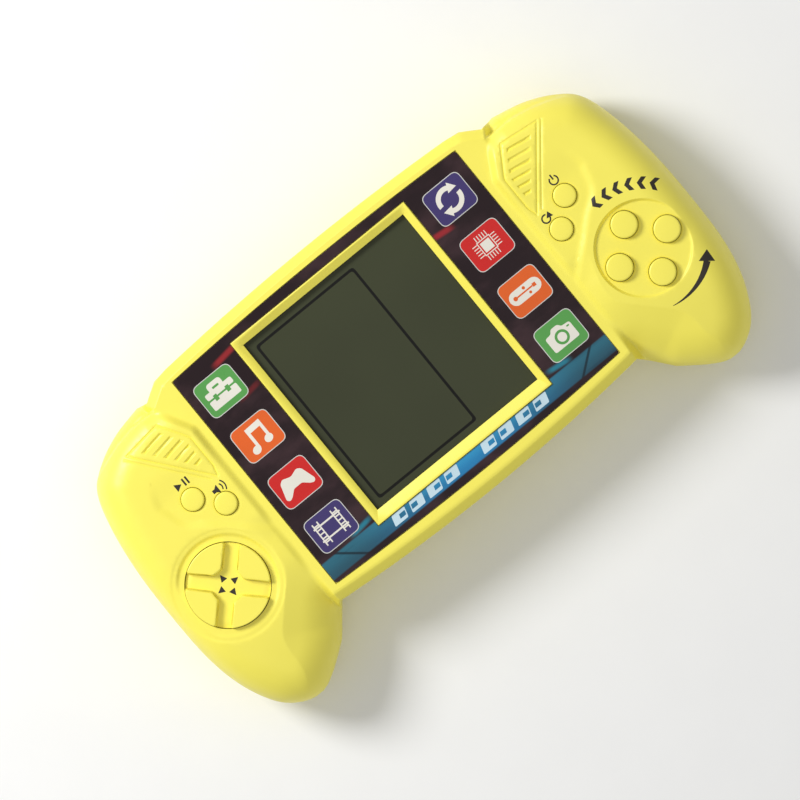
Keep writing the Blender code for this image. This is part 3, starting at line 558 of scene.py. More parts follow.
def solid(outline, loops, runs, dots, upper, lower, is_hole, inks=(), clear=0.3):
    """Points, faces and material numbers of a closed solid between two heights over one plan."""
    points, edges = [], []
    for loop in [outline, *loops]:
        first = len(points)
        points += [tuple(p) for p in loop]
        edges += [(first + i, first + (i + 1) % len(loop)) for i in range(len(loop))]
    for run in runs:
        first = len(points)
        points += [tuple(p) for p in run]
        edges += [(first + i, first + i + 1) for i in range(len(run) - 1)]
    if len(dots):
        tree = KDTree(len(points))
        for i, p in enumerate(points):
            tree.insert((*p, 0), i)
        tree.balance()
        points += [tuple(p) for p in dots if tree.find((*p, 0))[2] > clear]
    plan, _, triangles, *_ = delaunay_2d_cdt([Vector(p) for p in points], edges, [], 0, 1e-4)
    plan = np.array([tuple(p) for p in plan])
    triangles = np.array([t for t in triangles if len(t) == 3])
    centre = plan[triangles].mean(axis=1)
    triangles = triangles[inside(*centre.T, outline) & ~is_hole(*centre.T)]
    a, b, c = (plan[triangles[:, i]] for i in range(3))
    area = (b[:, 0] - a[:, 0]) * (c[:, 1] - a[:, 1]) - (b[:, 1] - a[:, 1]) * (c[:, 0] - a[:, 0])
    triangles = np.where(area[:, None] > 0, triangles, triangles[:, ::-1])

    used, triangles = np.unique(triangles, return_inverse=True)
    plan, triangles = plan[used], triangles.reshape(-1, 3)
    top, bottom = upper(*plan.T), lower(*plan.T)
    met = top - bottom < 1e-4
    below = np.where(met, np.arange(len(plan)), 0)
    below[~met] = len(plan) + np.arange((~met).sum())
    heights = np.vstack([np.column_stack([plan, top]), np.column_stack([plan, bottom])[~met]])
    faces = triangles.tolist() + below[triangles[:, ::-1]].tolist()
    sides = {(t[i], t[(i + 1) % 3]) for t in triangles.tolist() for i in range(3)}
    for i, j in sorted(side for side in sides if side[::-1] not in sides):
        wall = list(dict.fromkeys([j, i, int(below[i]), int(below[j])]))
        if len(wall) > 2:
            faces.append(wall)
    index = np.zeros(len(faces), int)
    centre = plan[triangles].mean(axis=1)
    for number, shapes in inks:
        layers = sum(inside(*centre.T, shape).astype(int) for shape in shapes)
        index[: len(triangles)][layers % 2 == 1] = number
    return heights, faces, index


def no_hole(x, y):
    return np.zeros(len(x), bool)


def level(z):
    return lambda x, y: np.full(len(x), float(z))


def turned(profile, centre=(0.0, 0.0), sides=48):
    """Points and faces of a solid turned about z, from (radius, z) points.

    The profile runs from its bottom pole to its top pole, or round a closed ring.
    """
    turns = np.arange(sides) * math.tau / sides
    points, rows, faces = [], [], []
    for number, (radius, z) in enumerate(profile):
        if radius == 0:
            rows.append([len(points)] * sides)
            points.append((*centre, z))
        elif number and (radius, z) == profile[0]:
            rows.append(rows[0])
        else:
            rows.append([len(points) + i for i in range(sides)])
            points += [(centre[0] + radius * math.cos(a), centre[1] + radius * math.sin(a), z) for a in turns]
    for low, high in zip(rows, rows[1:]):
        for i in range(sides):
            j = (i + 1) % sides
            faces.append(list(dict.fromkeys([low[i], low[j], high[j], high[i]])))
    return np.array(points), faces


def lying(shape, centre, sign=1):
    """A turned shape laid along x, pointing to +x or -x."""
    x, y, z = shape[0].T
    return np.column_stack([sign * z, y, -sign * x]) + centre, shape[1]


def joined(*parts):
    """Several closed shapes as one set of points and faces."""
    points, faces, first = [], [], 0
    for shape in parts:
        points.append(np.asarray(shape[0], float))
        faces += [[first + k for k in face] for face in shape[1]]
        first += len(shape[0])
    return np.vstack(points), faces


def tube(path, radius, sides=12):
    """A round wire along a path, closed at both ends."""
    path = np.asarray(path, float)
    ahead = np.gradient(path, axis=0)
    ahead /= np.linalg.norm(ahead, axis=1)[:, None]
    across = np.cross(ahead[0], [0.3, 0.2, 1.0])
    points, faces = [], []
    for centre, tangent in zip(path, ahead):
        across = across - tangent * (across @ tangent)
        across /= np.linalg.norm(across)
        other = np.cross(tangent, across)
        for i in range(sides):
            a = i * math.tau / sides
            points.append(centre + radius * (math.cos(a) * across + math.sin(a) * other))
    for k in range(len(path) - 1):
        for i in range(sides):
            j = (i + 1) % sides
            faces.append([k * sides + i, k * sides + j, (k + 1) * sides + j, (k + 1) * sides + i])
    faces.append(list(range(sides))[::-1])
    faces.append([(len(path) - 1) * sides + i for i in range(sides)])
    return np.array(points), faces


# ---------- materials ----------


class Graph:
    """Short names for the nodes that a material is made of."""

    def __init__(self, name, rough, metal=0.0, coat=0.0):
        self.made = bpy.data.materials.new(name)
        self.made.use_nodes = True
        self.tree = self.made.node_tree
        self.shader = self.tree.nodes["Principled BSDF"]
        self.shader.inputs["Roughness"].default_value = rough
        self.shader.inputs["Metallic"].default_value = metal
        self.shader.inputs["Coat Weight"].default_value = coat
        self.shader.inputs["Coat Roughness"].default_value = 0.12
        place = self.tree.nodes.new("ShaderNodeTexCoord").outputs["Object"]
        split = self.tree.nodes.new("ShaderNodeSeparateXYZ")
        self.tree.links.new(place, split.inputs[0])
        self.place = place
        self.x, self.y, self.z = split.outputs

    def set(self, node, value, socket):
        """Links a socket, or sets a plain value."""
        if isinstance(value, bpy.types.NodeSocket):
            self.tree.links.new(value, node.inputs[socket])
        else:
            node.inputs[socket].default_value = value

    def math(self, kind, *values):
        node = self.tree.nodes.new("ShaderNodeMath")
        node.operation = kind
        for i, value in enumerate(values):
            self.set(node, value, i)
        return node.outputs[0]

    def noise(self, scale, detail=3.0, stretch=(1, 1, 1)):
        node = self.tree.nodes.new("ShaderNodeTexNoise")
        node.inputs["Scale"].default_value = scale
        node.inputs["Detail"].default_value = detail
        vector = self.place
        if stretch != (1, 1, 1):
            mapping = self.tree.nodes.new("ShaderNodeMapping")
            mapping.inputs["Scale"].default_value = stretch
            self.tree.links.new(self.place, mapping.inputs["Vector"])
            vector = mapping.outputs[0]
        self.tree.links.new(vector, node.inputs["Vector"])
        return node.outputs[0]

    def remap(self, value, low, high, to_low=0.0, to_high=1.0):
        node = self.tree.nodes.new("ShaderNodeMapRange")
        node.interpolation_type = "SMOOTHSTEP"
        for i, setting in enumerate((value, low, high, to_low, to_high)):
            self.set(node, setting, i)
        return node.outputs[0]

    def band(self, value, low, high, soft):
        """1 between two values, 0 outside, with soft ends."""
        rise = self.remap(value, low - soft, low)
        return self.math("MULTIPLY", rise, self.remap(value, high, high + soft, 1.0, 0.0))

    def mix(self, share, a, b):
        node = self.tree.nodes.new("ShaderNodeMix")
        node.data_type = "RGBA"
        for socket, value in ((0, share), (6, a), (7, b)):
            self.set(node, (*value, 1.0) if isinstance(value, tuple) else value, socket)
        return node.outputs[2]

    def bump(self, height, depth):
        node = self.tree.nodes.new("ShaderNodeBump")
        node.inputs["Distance"].default_value = depth * MM
        self.tree.links.new(height, node.inputs["Height"])
        self.tree.links.new(node.outputs[0], self.shader.inputs["Normal"])

    def paint(self, colour):
        self.set(self.shader, colour, "Base Color")
        return self.made


FILM_IOR = 1.3  # printed films mirror the light less than bare plastic


def toned(colour, share):
    return tuple(min(1.0, c * share) for c in colour)


def plain(name, colour, rough, metal=0.0, tone=0.04, grain=1400.0, depth=0.0, stretch=(1, 1, 1)):
    """A finish with slightly uneven colour and shine, and a fine grain if asked."""
    g = Graph(name, rough, metal)
    cloud = g.noise(60.0)
    wear = g.noise(grain / 6, 4.0, stretch)
    g.set(g.shader, g.remap(wear, 0.3, 0.7, rough - 0.05, rough + 0.05), "Roughness")
    if depth:
        g.bump(g.noise(grain, 2.0, stretch), depth)
    share = g.remap(cloud, 0.3, 0.7)
    return g.paint(g.mix(share, toned(colour, 1 - tone), toned(colour, 1 + tone)))


def panel_art():
    """Dark printed film: a smoky ground with faint red and blue glints over a glowing blue foot."""
    g = Graph("panel_art", 0.25)
    g.shader.inputs["IOR"].default_value = FILM_IOR
    smoke = g.remap(g.noise(60.0, 5.0, (1.0, 1.8, 1.0)), 0.4, 0.7)
    colour = g.mix(smoke, (0.016, 0.007, 0.009), (0.046, 0.022, 0.026))
    ray = g.noise(380.0, 2.0, (0.12, 1.0, 1.0))
    away = g.math("ABSOLUTE", g.x)
    lean = g.math("ADD", g.y, g.math("MULTIPLY", away, 0.12))

    def glint(colour, across, low, high, tint, at):
        """A soft streak along x between two values of x and two heights."""
        share = g.math("MULTIPLY", g.band(across, *at, 0.003), g.band(lean, low, high, 0.0009))
        return g.mix(share, colour, tint)

    colour = glint(colour, g.x, 0.0404, 0.0409, (0.28, 0.020, 0.024), (-0.034, -0.030))
    colour = glint(colour, g.x, 0.0295, 0.0299, (0.12, 0.012, 0.014), (-0.034, -0.031))
    colour = glint(colour, g.x, 0.0293, 0.0298, (0.30, 0.020, 0.026), (0.0295, 0.032))
    colour = glint(colour, away, -0.0152, -0.0149, (0.02, 0.19, 0.27), (0.031, 0.034))
    foot = g.band(g.y, -0.0249, -0.0204, 0.0005)
    centre = g.remap(away, 0.0, 0.040, 1.0, 0.0)
    lit = g.remap(g.y, -0.0249, -0.0206)
    glow = g.mix(centre, (0.022, 0.085, 0.125), (0.020, 0.200, 0.43))
    bright = g.mix(centre, (0.03, 0.17, 0.24), (0.05, 0.40, 0.68))
    glow = g.mix(g.math("MULTIPLY", lit, 0.6), glow, bright)
    glow = g.mix(g.remap(ray, 0.52, 0.75, 0.0, 0.5), glow, (0.008, 0.020, 0.040))
    slant = g.math("ADD", g.math("MULTIPLY", away, -0.8), g.y)
    gap = g.math("ABSOLUTE", g.math("ADD", slant, 0.0535))
    glow = g.mix(g.remap(gap, 0.0002, 0.0006, 0.85, 0.0), glow, (0.008, 0.018, 0.026))
    return g.paint(g.mix(foot, colour, glow))


def lcd_film():
    """Grey-green polariser with a faint cloud in its tone."""
    g = Graph("lcd_film", 0.30)
    g.shader.inputs["IOR"].default_value = FILM_IOR
    cloud = g.remap(g.noise(22.0, 2.0), 0.3, 0.7)
    g.set(g.shader, g.remap(g.noise(500.0, 3.0), 0.3, 0.7, 0.29, 0.32), "Roughness")
    return g.paint(g.mix(cloud, (0.040, 0.045, 0.022), (0.046, 0.052, 0.025)))


def board_film():
    """Tan board with darker copper tracks under its lacquer."""
    g = Graph("board_film", 0.45, coat=0.2)
    brick = g.tree.nodes.new("ShaderNodeTexBrick")
    g.tree.links.new(g.place, brick.inputs["Vector"])
    brick.inputs["Scale"].default_value = 160.0
    brick.inputs["Mortar Size"].default_value = 0.035
    g.set(brick, (0.45, 0.27, 0.10, 1.0), "Color1")
    g.set(brick, (0.42, 0.245, 0.09, 1.0), "Color2")
    g.set(brick, (0.25, 0.12, 0.045, 1.0), "Mortar")
    return g.paint(g.mix(g.remap(g.noise(90.0), 0.3, 0.7, 0.0, 0.25), brick.outputs[0], (0.5, 0.32, 0.13)))


def banded_body():
    """Resistor lacquer with coloured bands."""
    g = Graph("resistor_body", 0.35)
    colour = (0.62, 0.48, 0.30)
    at = g.math("ADD", g.x, -2.0 * MM)
    bands = {-1.2: (0.3, 0.1, 0.02), -0.4: (0.02, 0.02, 0.02), 0.4: (0.7, 0.15, 0.02), 1.5: (0.5, 0.35, 0.08)}
    for place, tint in bands.items():
        share = g.band(at, (place - 0.15) * MM, (place + 0.15) * MM, 0.03 * MM)
        colour = g.mix(share, colour, tint)
    return g.paint(colour)


YELLOW = (0.955, 0.85, 0.112)
LOOKS = {
    "yellow_shell": plain("yellow_shell", YELLOW, 0.40, tone=0.012, grain=2600.0, depth=0.012),
    "yellow_key": plain("yellow_key", toned(YELLOW, 1.02), 0.36, tone=0.01, grain=2600.0, depth=0.006),
    "printed_panel": panel_art(),
    "lcd": lcd_film(),
    "reflector": plain("reflector", (0.6, 0.62, 0.58), 0.3, metal=0.6),
    "white_plastic": plain("white_plastic", (0.8, 0.8, 0.78), 0.5),
    "board": board_film(),
    "silicone": plain("silicone", (0.55, 0.56, 0.55), 0.7, depth=0.01),
    "black_rubber": plain("black_rubber", (0.02, 0.02, 0.02), 0.65, depth=0.01),
    "epoxy": plain("epoxy", (0.015, 0.015, 0.016), 0.3, depth=0.02, grain=500.0),
    "capacitor_sleeve": plain("capacitor_sleeve", (0.03, 0.04, 0.12), 0.35),
    "resistor_body": banded_body(),
    "brass": plain("brass", (0.75, 0.6, 0.25), 0.3, metal=1.0, depth=0.006, stretch=(1, 8, 1)),
    "steel": plain("steel", (0.62, 0.62, 0.60), 0.34, metal=1.0, depth=0.006),
    "nickel": plain("nickel", (0.70, 0.68, 0.62), 0.26, metal=1.0),
    "cell_sleeve": plain("cell_sleeve", (0.10, 0.20, 0.26), 0.3, tone=0.08),
    "red_wire": plain("red_wire", (0.55, 0.02, 0.02), 0.4),
    "black_wire": plain("black_wire", (0.02, 0.02, 0.02), 0.4),
    "ribbon": plain("ribbon", (0.72, 0.72, 0.69), 0.5),
}
INK = plain("ink_black", (0.022, 0.016, 0.010), 0.5)
PRINT_COLOURS = {
    "pale": (0.62, 0.62, 0.58), "white": (0.80, 0.77, 0.68), "green": (0.10, 0.34, 0.080),
    "orange": (0.74, 0.125, 0.022), "red": (0.60, 0.022, 0.020), "indigo": (0.055, 0.040, 0.150),
    "light": (0.55, 0.72, 0.80),
}
PRINTS = {name: plain("print_" + name, colour, 0.25) for name, colour in PRINT_COLOURS.items()}
LCD_LINE = plain("lcd_line", (0.003, 0.003, 0.002), 0.6)
for print_look in (*PRINTS.values(), LCD_LINE):
    print_look.node_tree.nodes["Principled BSDF"].inputs["IOR"].default_value = FILM_IOR


# ---------- printed marks ----------


def arc_band(centre, radius, width, start, end, steps=14):
    """A band along an arc between two angles in degrees; the width can taper."""
    turns = np.radians(np.linspace(start, end, steps + 1))
    half = np.linspace(*(width if isinstance(width, tuple) else (width, width)), steps + 1) / 2
    around = np.column_stack([np.cos(turns), np.sin(turns)])
    return np.vstack([around * (radius + half)[:, None], (around * (radius - half)[:, None])[::-1]]) + centre


def turned_by(loop, degrees):
    c, s = math.cos(math.radians(degrees)), math.sin(math.radians(degrees))
    return np.asarray(loop, float) @ np.array([(c, s), (-s, c)])


def oval(centre, wide, tall, lean=0.0):
    return turned_by(ring((0, 0), 1.0, 24) * (wide / 2, tall / 2), lean) + centre


def round_arrow(radius, width, start, end):
    """An arc with an arrowhead at its end."""
    turn = math.radians(end)
    tip = np.array([math.cos(turn), math.sin(turn)])
    ahead = np.array([-tip[1], tip[0]]) * (1 if end > start else -1)
    reach = 0.75 + 0.5 * width
    head = [tip * (radius + reach), tip * (radius - reach), tip * radius + ahead * 1.7 * reach]
    return [[arc_band((0, 0), radius, width, start, end)], [np.array(head)]]


def toolbox():
    handle = [softened(box((-0.3, 2.2), (4.4, 2.5)), 1.0), softened(box((-0.3, 1.9), (2.0, 0.6)), 0.25)]
    lid = [softened(box((0, 0.7), (8.4, 1.7)), 0.5)]
    lid += [box((x, 0.1), (1.1, 0.5)) for x in (-1.9, 1.9)]
    chest = [softened(box((0, -1.95), (8.6, 2.6)), 0.4)]
    chest += [box((x, -1.0), (1.1, 0.7)) for x in (-1.9, 1.9)]
    return [handle, lid, chest]


def notes():
    beam = [(-1.87, 3.3), (2.87, 3.5), (2.87, 1.9), (-1.87, 1.7)]
    return [
        [oval((-2.3, -2.6), 2.5, 2.1, 20)], [oval((2.0, -2.0), 2.5, 2.1, 20)], [np.array(beam)],
        [box((-1.45, 0.1), (0.85, 5.4))], [box((2.45, 0.4), (0.85, 4.8))],
    ]


def gamepad():
    """Two rounded grips and a bar between them."""
    right = [(0.0, 1.8), (2.3, 2.6), (3.4, 1.9), (4.7, -2.3), (4.0, -3.0), (3.0, -2.6), (1.3, -1.1)]
    return [[softened(right + [(-x, y) for x, y in right[:0:-1]], 0.5)]]


def film():
    """A picture between two perforated strips."""
    rails = [box((side * x, 0), (0.36, 6.6)) for x in (2.2, 3.7) for side in (-1, 1)]
    rungs = [box((side * 2.95, y), (1.5, 0.36)) for y in (-2.4, -1.2, 0.0, 1.2, 2.4) for side in (-1, 1)]
    bars = [box((0, y), (8.4, 0.45)) for y in (-1.9, 1.9)]
    return [[loop] for loop in (*rails, *rungs, *bars)]


def renew():
    return round_arrow(3.0, 1.3, 188, 66) + round_arrow(3.0, 1.3, 8, -114)


def chip():
    marks = [[box((0, 0), (4.1, 4.1)), box((0, 0), (3.6, 3.6))], [box((0, 0), (2.8, 2.8))]]
    for s in (-1.6, -0.8, 0.0, 0.8, 1.6):
        for side in (-1, 1):
            marks += [[box((s, side * 2.85), (0.24, 1.4))], [box((side * 2.85, s), (1.4, 0.24))]]
    return marks


def connector():
    """A rounded plate; a line between a dot and a square, and two dots beside it, are left out."""
    plate = capsule((-2.9, 0), (2.9, 0), 1.9)
    line = [box((-0.08, 0.0), (4.9, 0.42)), ring((-3.1, 0), 0.6, 14), box((2.9, 0), (1.0, 1.0))]
    return [[plate, *line, ring((0.2, 1.0), 0.45, 12), ring((1.0, -1.0), 0.4, 12)]]


def camera_mark():
    hump = [(-1.9, 1.9), (-1.3, 2.9), (0.9, 2.9), (1.5, 1.9)]
    body = [(-3.9, 1.7), *hump, (3.9, 1.7), (3.9, -2.8), (-3.9, -2.8)]
    lens = [ring((0, -0.4), radius, 28) for radius in (1.95, 1.25)]
    return [[softened(body, 0.6), *lens, box((2.9, 1.0), (0.8, 0.4))]]


def placed(marks, number, at):
    return [(number, [np.asarray(loop) + at for loop in loops]) for loops in marks]


TILE = (11.75, 10.05)
TILES = [
    ((-38.3, 23.7), "green", toolbox), ((-38.3, 8.8), "orange", notes), ((-38.3, -6.3), "red", gamepad),
    ((-38.3, -20.8), "indigo", film), ((37.8, 24.5), "indigo", renew), ((37.8, 9.5), "red", chip),
    ((37.8, -5.7), "orange", connector), ((37.8, -20.2), "green", camera_mark),
]


def panel_marks():
    """Everything printed on the panel, as (place in PRINTS counted from 1, loops)."""
    number = {name: i + 1 for i, name in enumerate(PRINTS)}
    marks = []
    for at, name, glyph in TILES:
        marks.append((number["pale"], [softened(box(at, TILE), 1.9, 6)]))
        marks.append((number[name], [softened(box(at, TILE, -0.2), 1.75, 6)]))
        marks += placed(glyph(), number["white"], at)
    block = np.array([(-2.5, -1.4), (1.7, -1.4), (2.5, 1.4), (-1.7, 1.4)])
    for word in (-1, 1):
        for i in range(4):
            at = (word * 14.6 + (i - 1.5) * 5.7, -29.9)
            slit = block * [0.44, 0.42] + [0.9 * (-1) ** i, 0.0]
            marks += placed([[softened(block, 0.35), slit]], number["light"], at)
    return marks


def shell_marks():
    """Dark marks by the keys: generic symbols in place of words."""
    play = [[softened([(-1.9, -1.1), (-0.1, 0.0), (-1.9, 1.1)], 0.1)]]
    play += [[box((x, 0), (0.5, 2.1))] for x in (0.75, 1.75)]
    marks = placed(play, 1, (-61.0, 11.65))
    horn = [(-2.2, -0.5), (-1.4, -0.5), (-0.4, -1.25), (-0.4, 1.25), (-1.4, 0.5), (-2.2, 0.5)]
    waves = [[arc_band((-0.6, 0), radius, 0.36, -42, 42)] for radius in (1.3, 2.2)]
    marks += placed([[np.array(horn)], *waves], 1, (-54.0, 4.85))
    power = [[arc_band((0, 0), 1.15, 0.4, 125, 415, 24)], [box((0, 0.95), (0.42, 1.5))]]
    marks += placed(power, 1, (61.3, 11.55))
    marks += placed(round_arrow(1.1, 0.42, 60, 350), 1, (53.6, 5.15))
    chevron = np.array([(-0.5, 1.6), (0.8, 1.6), (-0.3, 0), (0.8, -1.6), (-0.5, -1.6), (-1.6, 0)])
    for i in range(6):
        marks += placed([[turned_by(chevron + [0, 16.6], 6 - 11.2 * i)]], 1, ACTION)
    marks.append((1, [arc_band(ACTION, 16.45, (0.15, 1.8), -102, -50.5, 30)]))
    head = turned_by(np.array([(-2.1, 0.0), (2.1, 0.0), (0.0, 3.0)]), -38.6) + ACTION + (10.4, -12.7)
    marks.append((1, [head]))
    return marks


# ---------- the pieces ----------


def with_edge(height):
    """A shell's height as a function of the plan alone."""
    return lambda x, y: height(x, y, edge_distance(x, y))


def front_shell():
    loops = [box(*WINDOW)]
    loops += stepped(box, *BEZEL) + [box(*BEZEL, -0.1), box(*BEZEL, -0.3)]
    loops += [panel_loop(FIT - STEP), panel_loop(FIT + STEP), panel_loop(1.5)]
    for name, radius in KEYS.items():
        loops += [ring(middle(name), radius + KEY_GAP + k) for k in (0.0, 0.1, 0.2, 0.3)]
    rises = (DPAD_R + DPAD_GAP, 12.0, 12.4, 12.7, 13.0, 13.3, 13.6, 14.1, 14.45, 14.8)
    loops += [ring(DPAD, r, 120) for r in rises]
    loops += [ring(ACTION, r, 120) for r in (12.0, 12.2, 12.35, 12.5, 12.7)]
    for name in SHELL_SCREWS:
        loops += stepped(ring, middle(name), POST_R) + stepped(ring, middle(name), POST_HOLE_R)
    for name in BOARD_SCREWS:
        loops += stepped(ring, middle(name), BOARD_POST_R) + stepped(ring, middle(name), BOARD_HOLE_R)
    for corners in vent_slots():
        core = corners.mean(axis=0)
        shrink = [1 - k / np.abs(corners - core).max(axis=0) for k in (0.0, 0.14, 0.28, 0.42, SLOT_EDGE)]
        loops += mirrored([core + (corners - core) * share for share in shrink])
    marks = shell_marks()
    loops += [loop for _, shapes in marks for loop in shapes]

    runs = [moved(SHELF_EDGE, k) for k in (-1.3, -0.65, 0.0, 0.65, 1.3)]
    runs += [moved(CREASE, k) for k in (-0.35, 0.0, 0.35)]
    for a, b in [*zip(VENT, VENT[1:]), VENT_RIM]:
        runs += [moved(divided([a, b], 0.8), k) for k in (-LINE_HALF, -0.2, 0.0, 0.2, LINE_HALF)]
    bar = divided(np.vstack([[(52.0, 30.3)], BAR_EDGE]), 0.8)
    runs += [bar + [0, k] for k in (-1.8, -1.3, -0.8, 0.0, 0.2, 0.4, 0.6, 0.8, 1.0)]
    top_y = 35.5
    for k in np.linspace(0, GRIP_RAMP, 8):
        bend = (GRIP_X + k, RAMP_BEND_Y + (k - k / RAMP_COS) / RAMP_LEAN)
        top = (GRIP_X + k / RAMP_COS + RAMP_LEAN * (top_y - RAMP_BEND_Y), top_y)
        runs.append(divided([(GRIP_X + k, -40), bend, top], 1.0))
    runs = mirrored(runs)
    runs += insets([0.06, 0.16, 0.35, 0.6, 0.97, 1.03, 1.35, WALL - STEP, WALL + STEP])
    runs += insets([2.25, 2.4, 2.55, 2.7, 2.85, 3.5, 4.3, 5.2, 6.3, 7.5, 8.8, 10.0])

    dots = np.vstack([lattice((-85, -52), (-47, 36), 0.8), lattice((47, -52), (85, 36), 0.8)])
    dots = np.vstack([dots, lattice((-47, -38), (47, 38), 4.0)])
    dots = dots[inside(*dots.T, OUTLINE)]

    def is_hole(x, y):
        found = in_box(x, y, *WINDOW) | in_disc(x, y, DPAD, DPAD_R + DPAD_GAP)
        for name, radius in KEYS.items():
            found |= in_disc(x, y, middle(name), radius + KEY_GAP)
        return found

    upper, lower = with_edge(front_outside), with_edge(front_inside)
    shape = solid(OUTLINE, loops, runs, dots, upper, lower, is_hole, marks)
    put("front_shell", shape, "yellow_shell", looks=[LOOKS["yellow_shell"], INK])


def sound_slots():
    """Ends of the three slots over the buzzer."""
    (x, y), half, pitch = BUZZER, 4.9, 3.2
    return [((x - half, y + pitch * i), (x + half, y + pitch * i)) for i in (-1, 0, 1)]


def rear_shell():
    loops = stepped(box, (0, 0), BAY_SIZE) + stepped(box, (0, 0), BAY_SIZE, BAY_WALL)
    loops += stepped(box, (0, 0), DOOR_SIZE, FIT) + stepped(box, (0, 0), DOOR_SIZE, 1.5)
    loops += stepped(box, DOOR_TAB, DOOR_TAB_SIZE, FIT) + stepped(box, DOOR_TAB, DOOR_TAB_SIZE, 1.5)
    loops += stepped(ring, DOOR_TAB, DOOR_POST_R) + stepped(ring, DOOR_TAB, DOOR_HOLE_R)
    for name in SHELL_SCREWS:
        loops += stepped(ring, middle(name), POST_R + WELL_WALL)
        loops += stepped(ring, middle(name), SCREW_WELL_R)
        loops.append(ring(middle(name), SCREW_HOLE_R, 32))
    loops += [capsule(a, b, SOUND_SLOT_R) for a, b in sound_slots()]

    def is_hole(x, y):
        found = np.zeros(len(x), bool)
        for name in SHELL_SCREWS:
            found |= in_disc(x, y, middle(name), SCREW_HOLE_R)
        for a, b in sound_slots():
            found |= from_segment(x, y, a, b) < SOUND_SLOT_R
        return found

    runs = insets([0.03, 0.1, 0.22, 0.4, 0.6, 0.82, 0.88, 1.3, WALL - STEP, WALL + STEP])
    runs += insets([2.4, 3.1, 3.9, 4.8, 5.8, 6.8, BACK_ROUND])
    dots = lattice((-85, -52), (85, 38), 2.5)
    dots = dots[inside(*dots.T, OUTLINE)]
    shape = solid(OUTLINE, loops, runs, dots, with_edge(back_inside), with_edge(back_outside), is_hole)
    put("rear_shell", shape, "yellow_shell")


def battery_door():
    """Flush plate with a screw tab on its upper edge, softened edges and finger grooves."""
    low, high = span("battery_door")
    x, y = DOOR_SIZE[0] / 2, DOOR_SIZE[1] / 2
    tab, tab_y = DOOR_TAB_SIZE[0] / 2, DOOR_TAB[1] + DOOR_TAB_SIZE[1] / 2
    corners = [(-x, -y), (x, -y), (x, y), (tab, y), (tab, tab_y), (-tab, tab_y), (-tab, y), (-x, y)]
    outline = divided(np.vstack([softened(corners, 0.8), softened(corners, 0.8)[:1]]), 1.5)[:-1]
    grooves = [((-8.5, -12.5 + 2.4 * i), (8.5, -12.5 + 2.4 * i)) for i in range(4)]
    loops = [ring(DOOR_TAB, SCREW_HOLE_R, 32)] + stepped(ring, DOOR_TAB, 2.6)
    loops += [capsule(a, b, r) for a, b in grooves for r in (0.45, 0.3, 0.12)]
    centre = outline.mean(axis=0)
    for inset in (0.12, 0.3, 0.5):
        loops.append(centre + (outline - centre) * (1 - inset / np.abs(outline - centre).max(axis=0)))

    def outer(px, py):
        z = low[2] + 0.35 * (1 - rounded(edge_distance(px, py, outline) / 0.5))
        for a, b in grooves:
            z = z + 0.38 * ease((0.45 - from_segment(px, py, a, b)) / 0.33)
        return np.where(in_disc(px, py, DOOR_TAB, 2.6), 1.15, z)

    def is_hole(px, py):
        return in_disc(px, py, DOOR_TAB, SCREW_HOLE_R)

    dots = lattice((-32, -17), (32, 25), 1.5)
    shape = solid(outline, loops, [], dots[inside(*dots.T, outline)], level(high[2]), outer, is_hole)
    put("battery_door", shape, "yellow_shell", "battery_door")


def screw(name, body, head_tall, shank_r, pitch):
    """Pan-head screw pointing up, with a cross recess and thread ridges."""
    low, high = span(name)
    centre = middle(name)
    head_r = (high[0] - low[0]) / 2
    depth = min(1.0, head_tall * 0.7)
    wing, half = head_r * 0.55, head_r * 0.13
    cross = [(wing, -half), (wing, half), (half, half), (half, wing), (-half, wing), (-half, half)]
    cross = np.array(cross + [(-px, -py) for px, py in cross]) + centre
    deeper = (cross - centre) * 0.8 + centre

    def under(x, y):
        r = np.hypot(x - centre[0], y - centre[1])
        z = low[2] + 0.45 * min(1.0, head_tall) * (1 - np.sqrt(np.clip(1 - (r / head_r) ** 4, 0, 1)))
        return np.where(inside(x, y, (deeper - centre) * 1.05 + centre), low[2] + depth, z)

    rims = [ring(centre, head_r * k, 32) for k in (0.99, 0.96, 0.9, 0.8, 0.68)]
    outline, loops = ring(centre, head_r, 32), [*rims, cross, deeper]
    head = solid(outline, loops, [], [], level(low[2] + head_tall), under, no_hole)
    start = low[2] + head_tall - 0.05
    profile = [(0.0, start), (shank_r * 0.8, start)]
    z = start + pitch
    while z < high[2] - 1.6:
        profile += [(shank_r * 0.78, z), (shank_r, z + pitch * 0.35), (shank_r * 0.78, z + pitch * 0.7)]
        z += pitch
    profile += [(shank_r * 0.75, high[2] - 0.9), (shank_r * 0.3, high[2]), (0.0, high[2])]
    put(name, joined(head, turned(profile, centre, 20)), "steel", body, sharp=30)


def screws():
    for name in SHELL_SCREWS:
        screw(name, "housing", 1.95, 1.15, 1.0)
    for name in BOARD_SCREWS:
        screw(name, "housing", 1.35, 0.85, 0.7)
    screw("battery_door_screw", "battery_door", 0.6, 1.05, 0.8)


def graphic_panel():
    low, high = span("graphic_panel")
    outline = softened(panel_loop(0.0), 0.6)
    hole = box(*BEZEL, FIT)
    marks = panel_marks()
    loops = [hole, *(loop for _, shapes in marks for loop in shapes)]

    def is_hole(x, y):
        return in_box(x, y, *BEZEL, FIT)

    shape = solid(outline, loops, [], [], level(high[2]), level(low[2]), is_hole, marks)
    put("graphic_panel", shape, "printed_panel", looks=[LOOKS["printed_panel"], *PRINTS.values()])


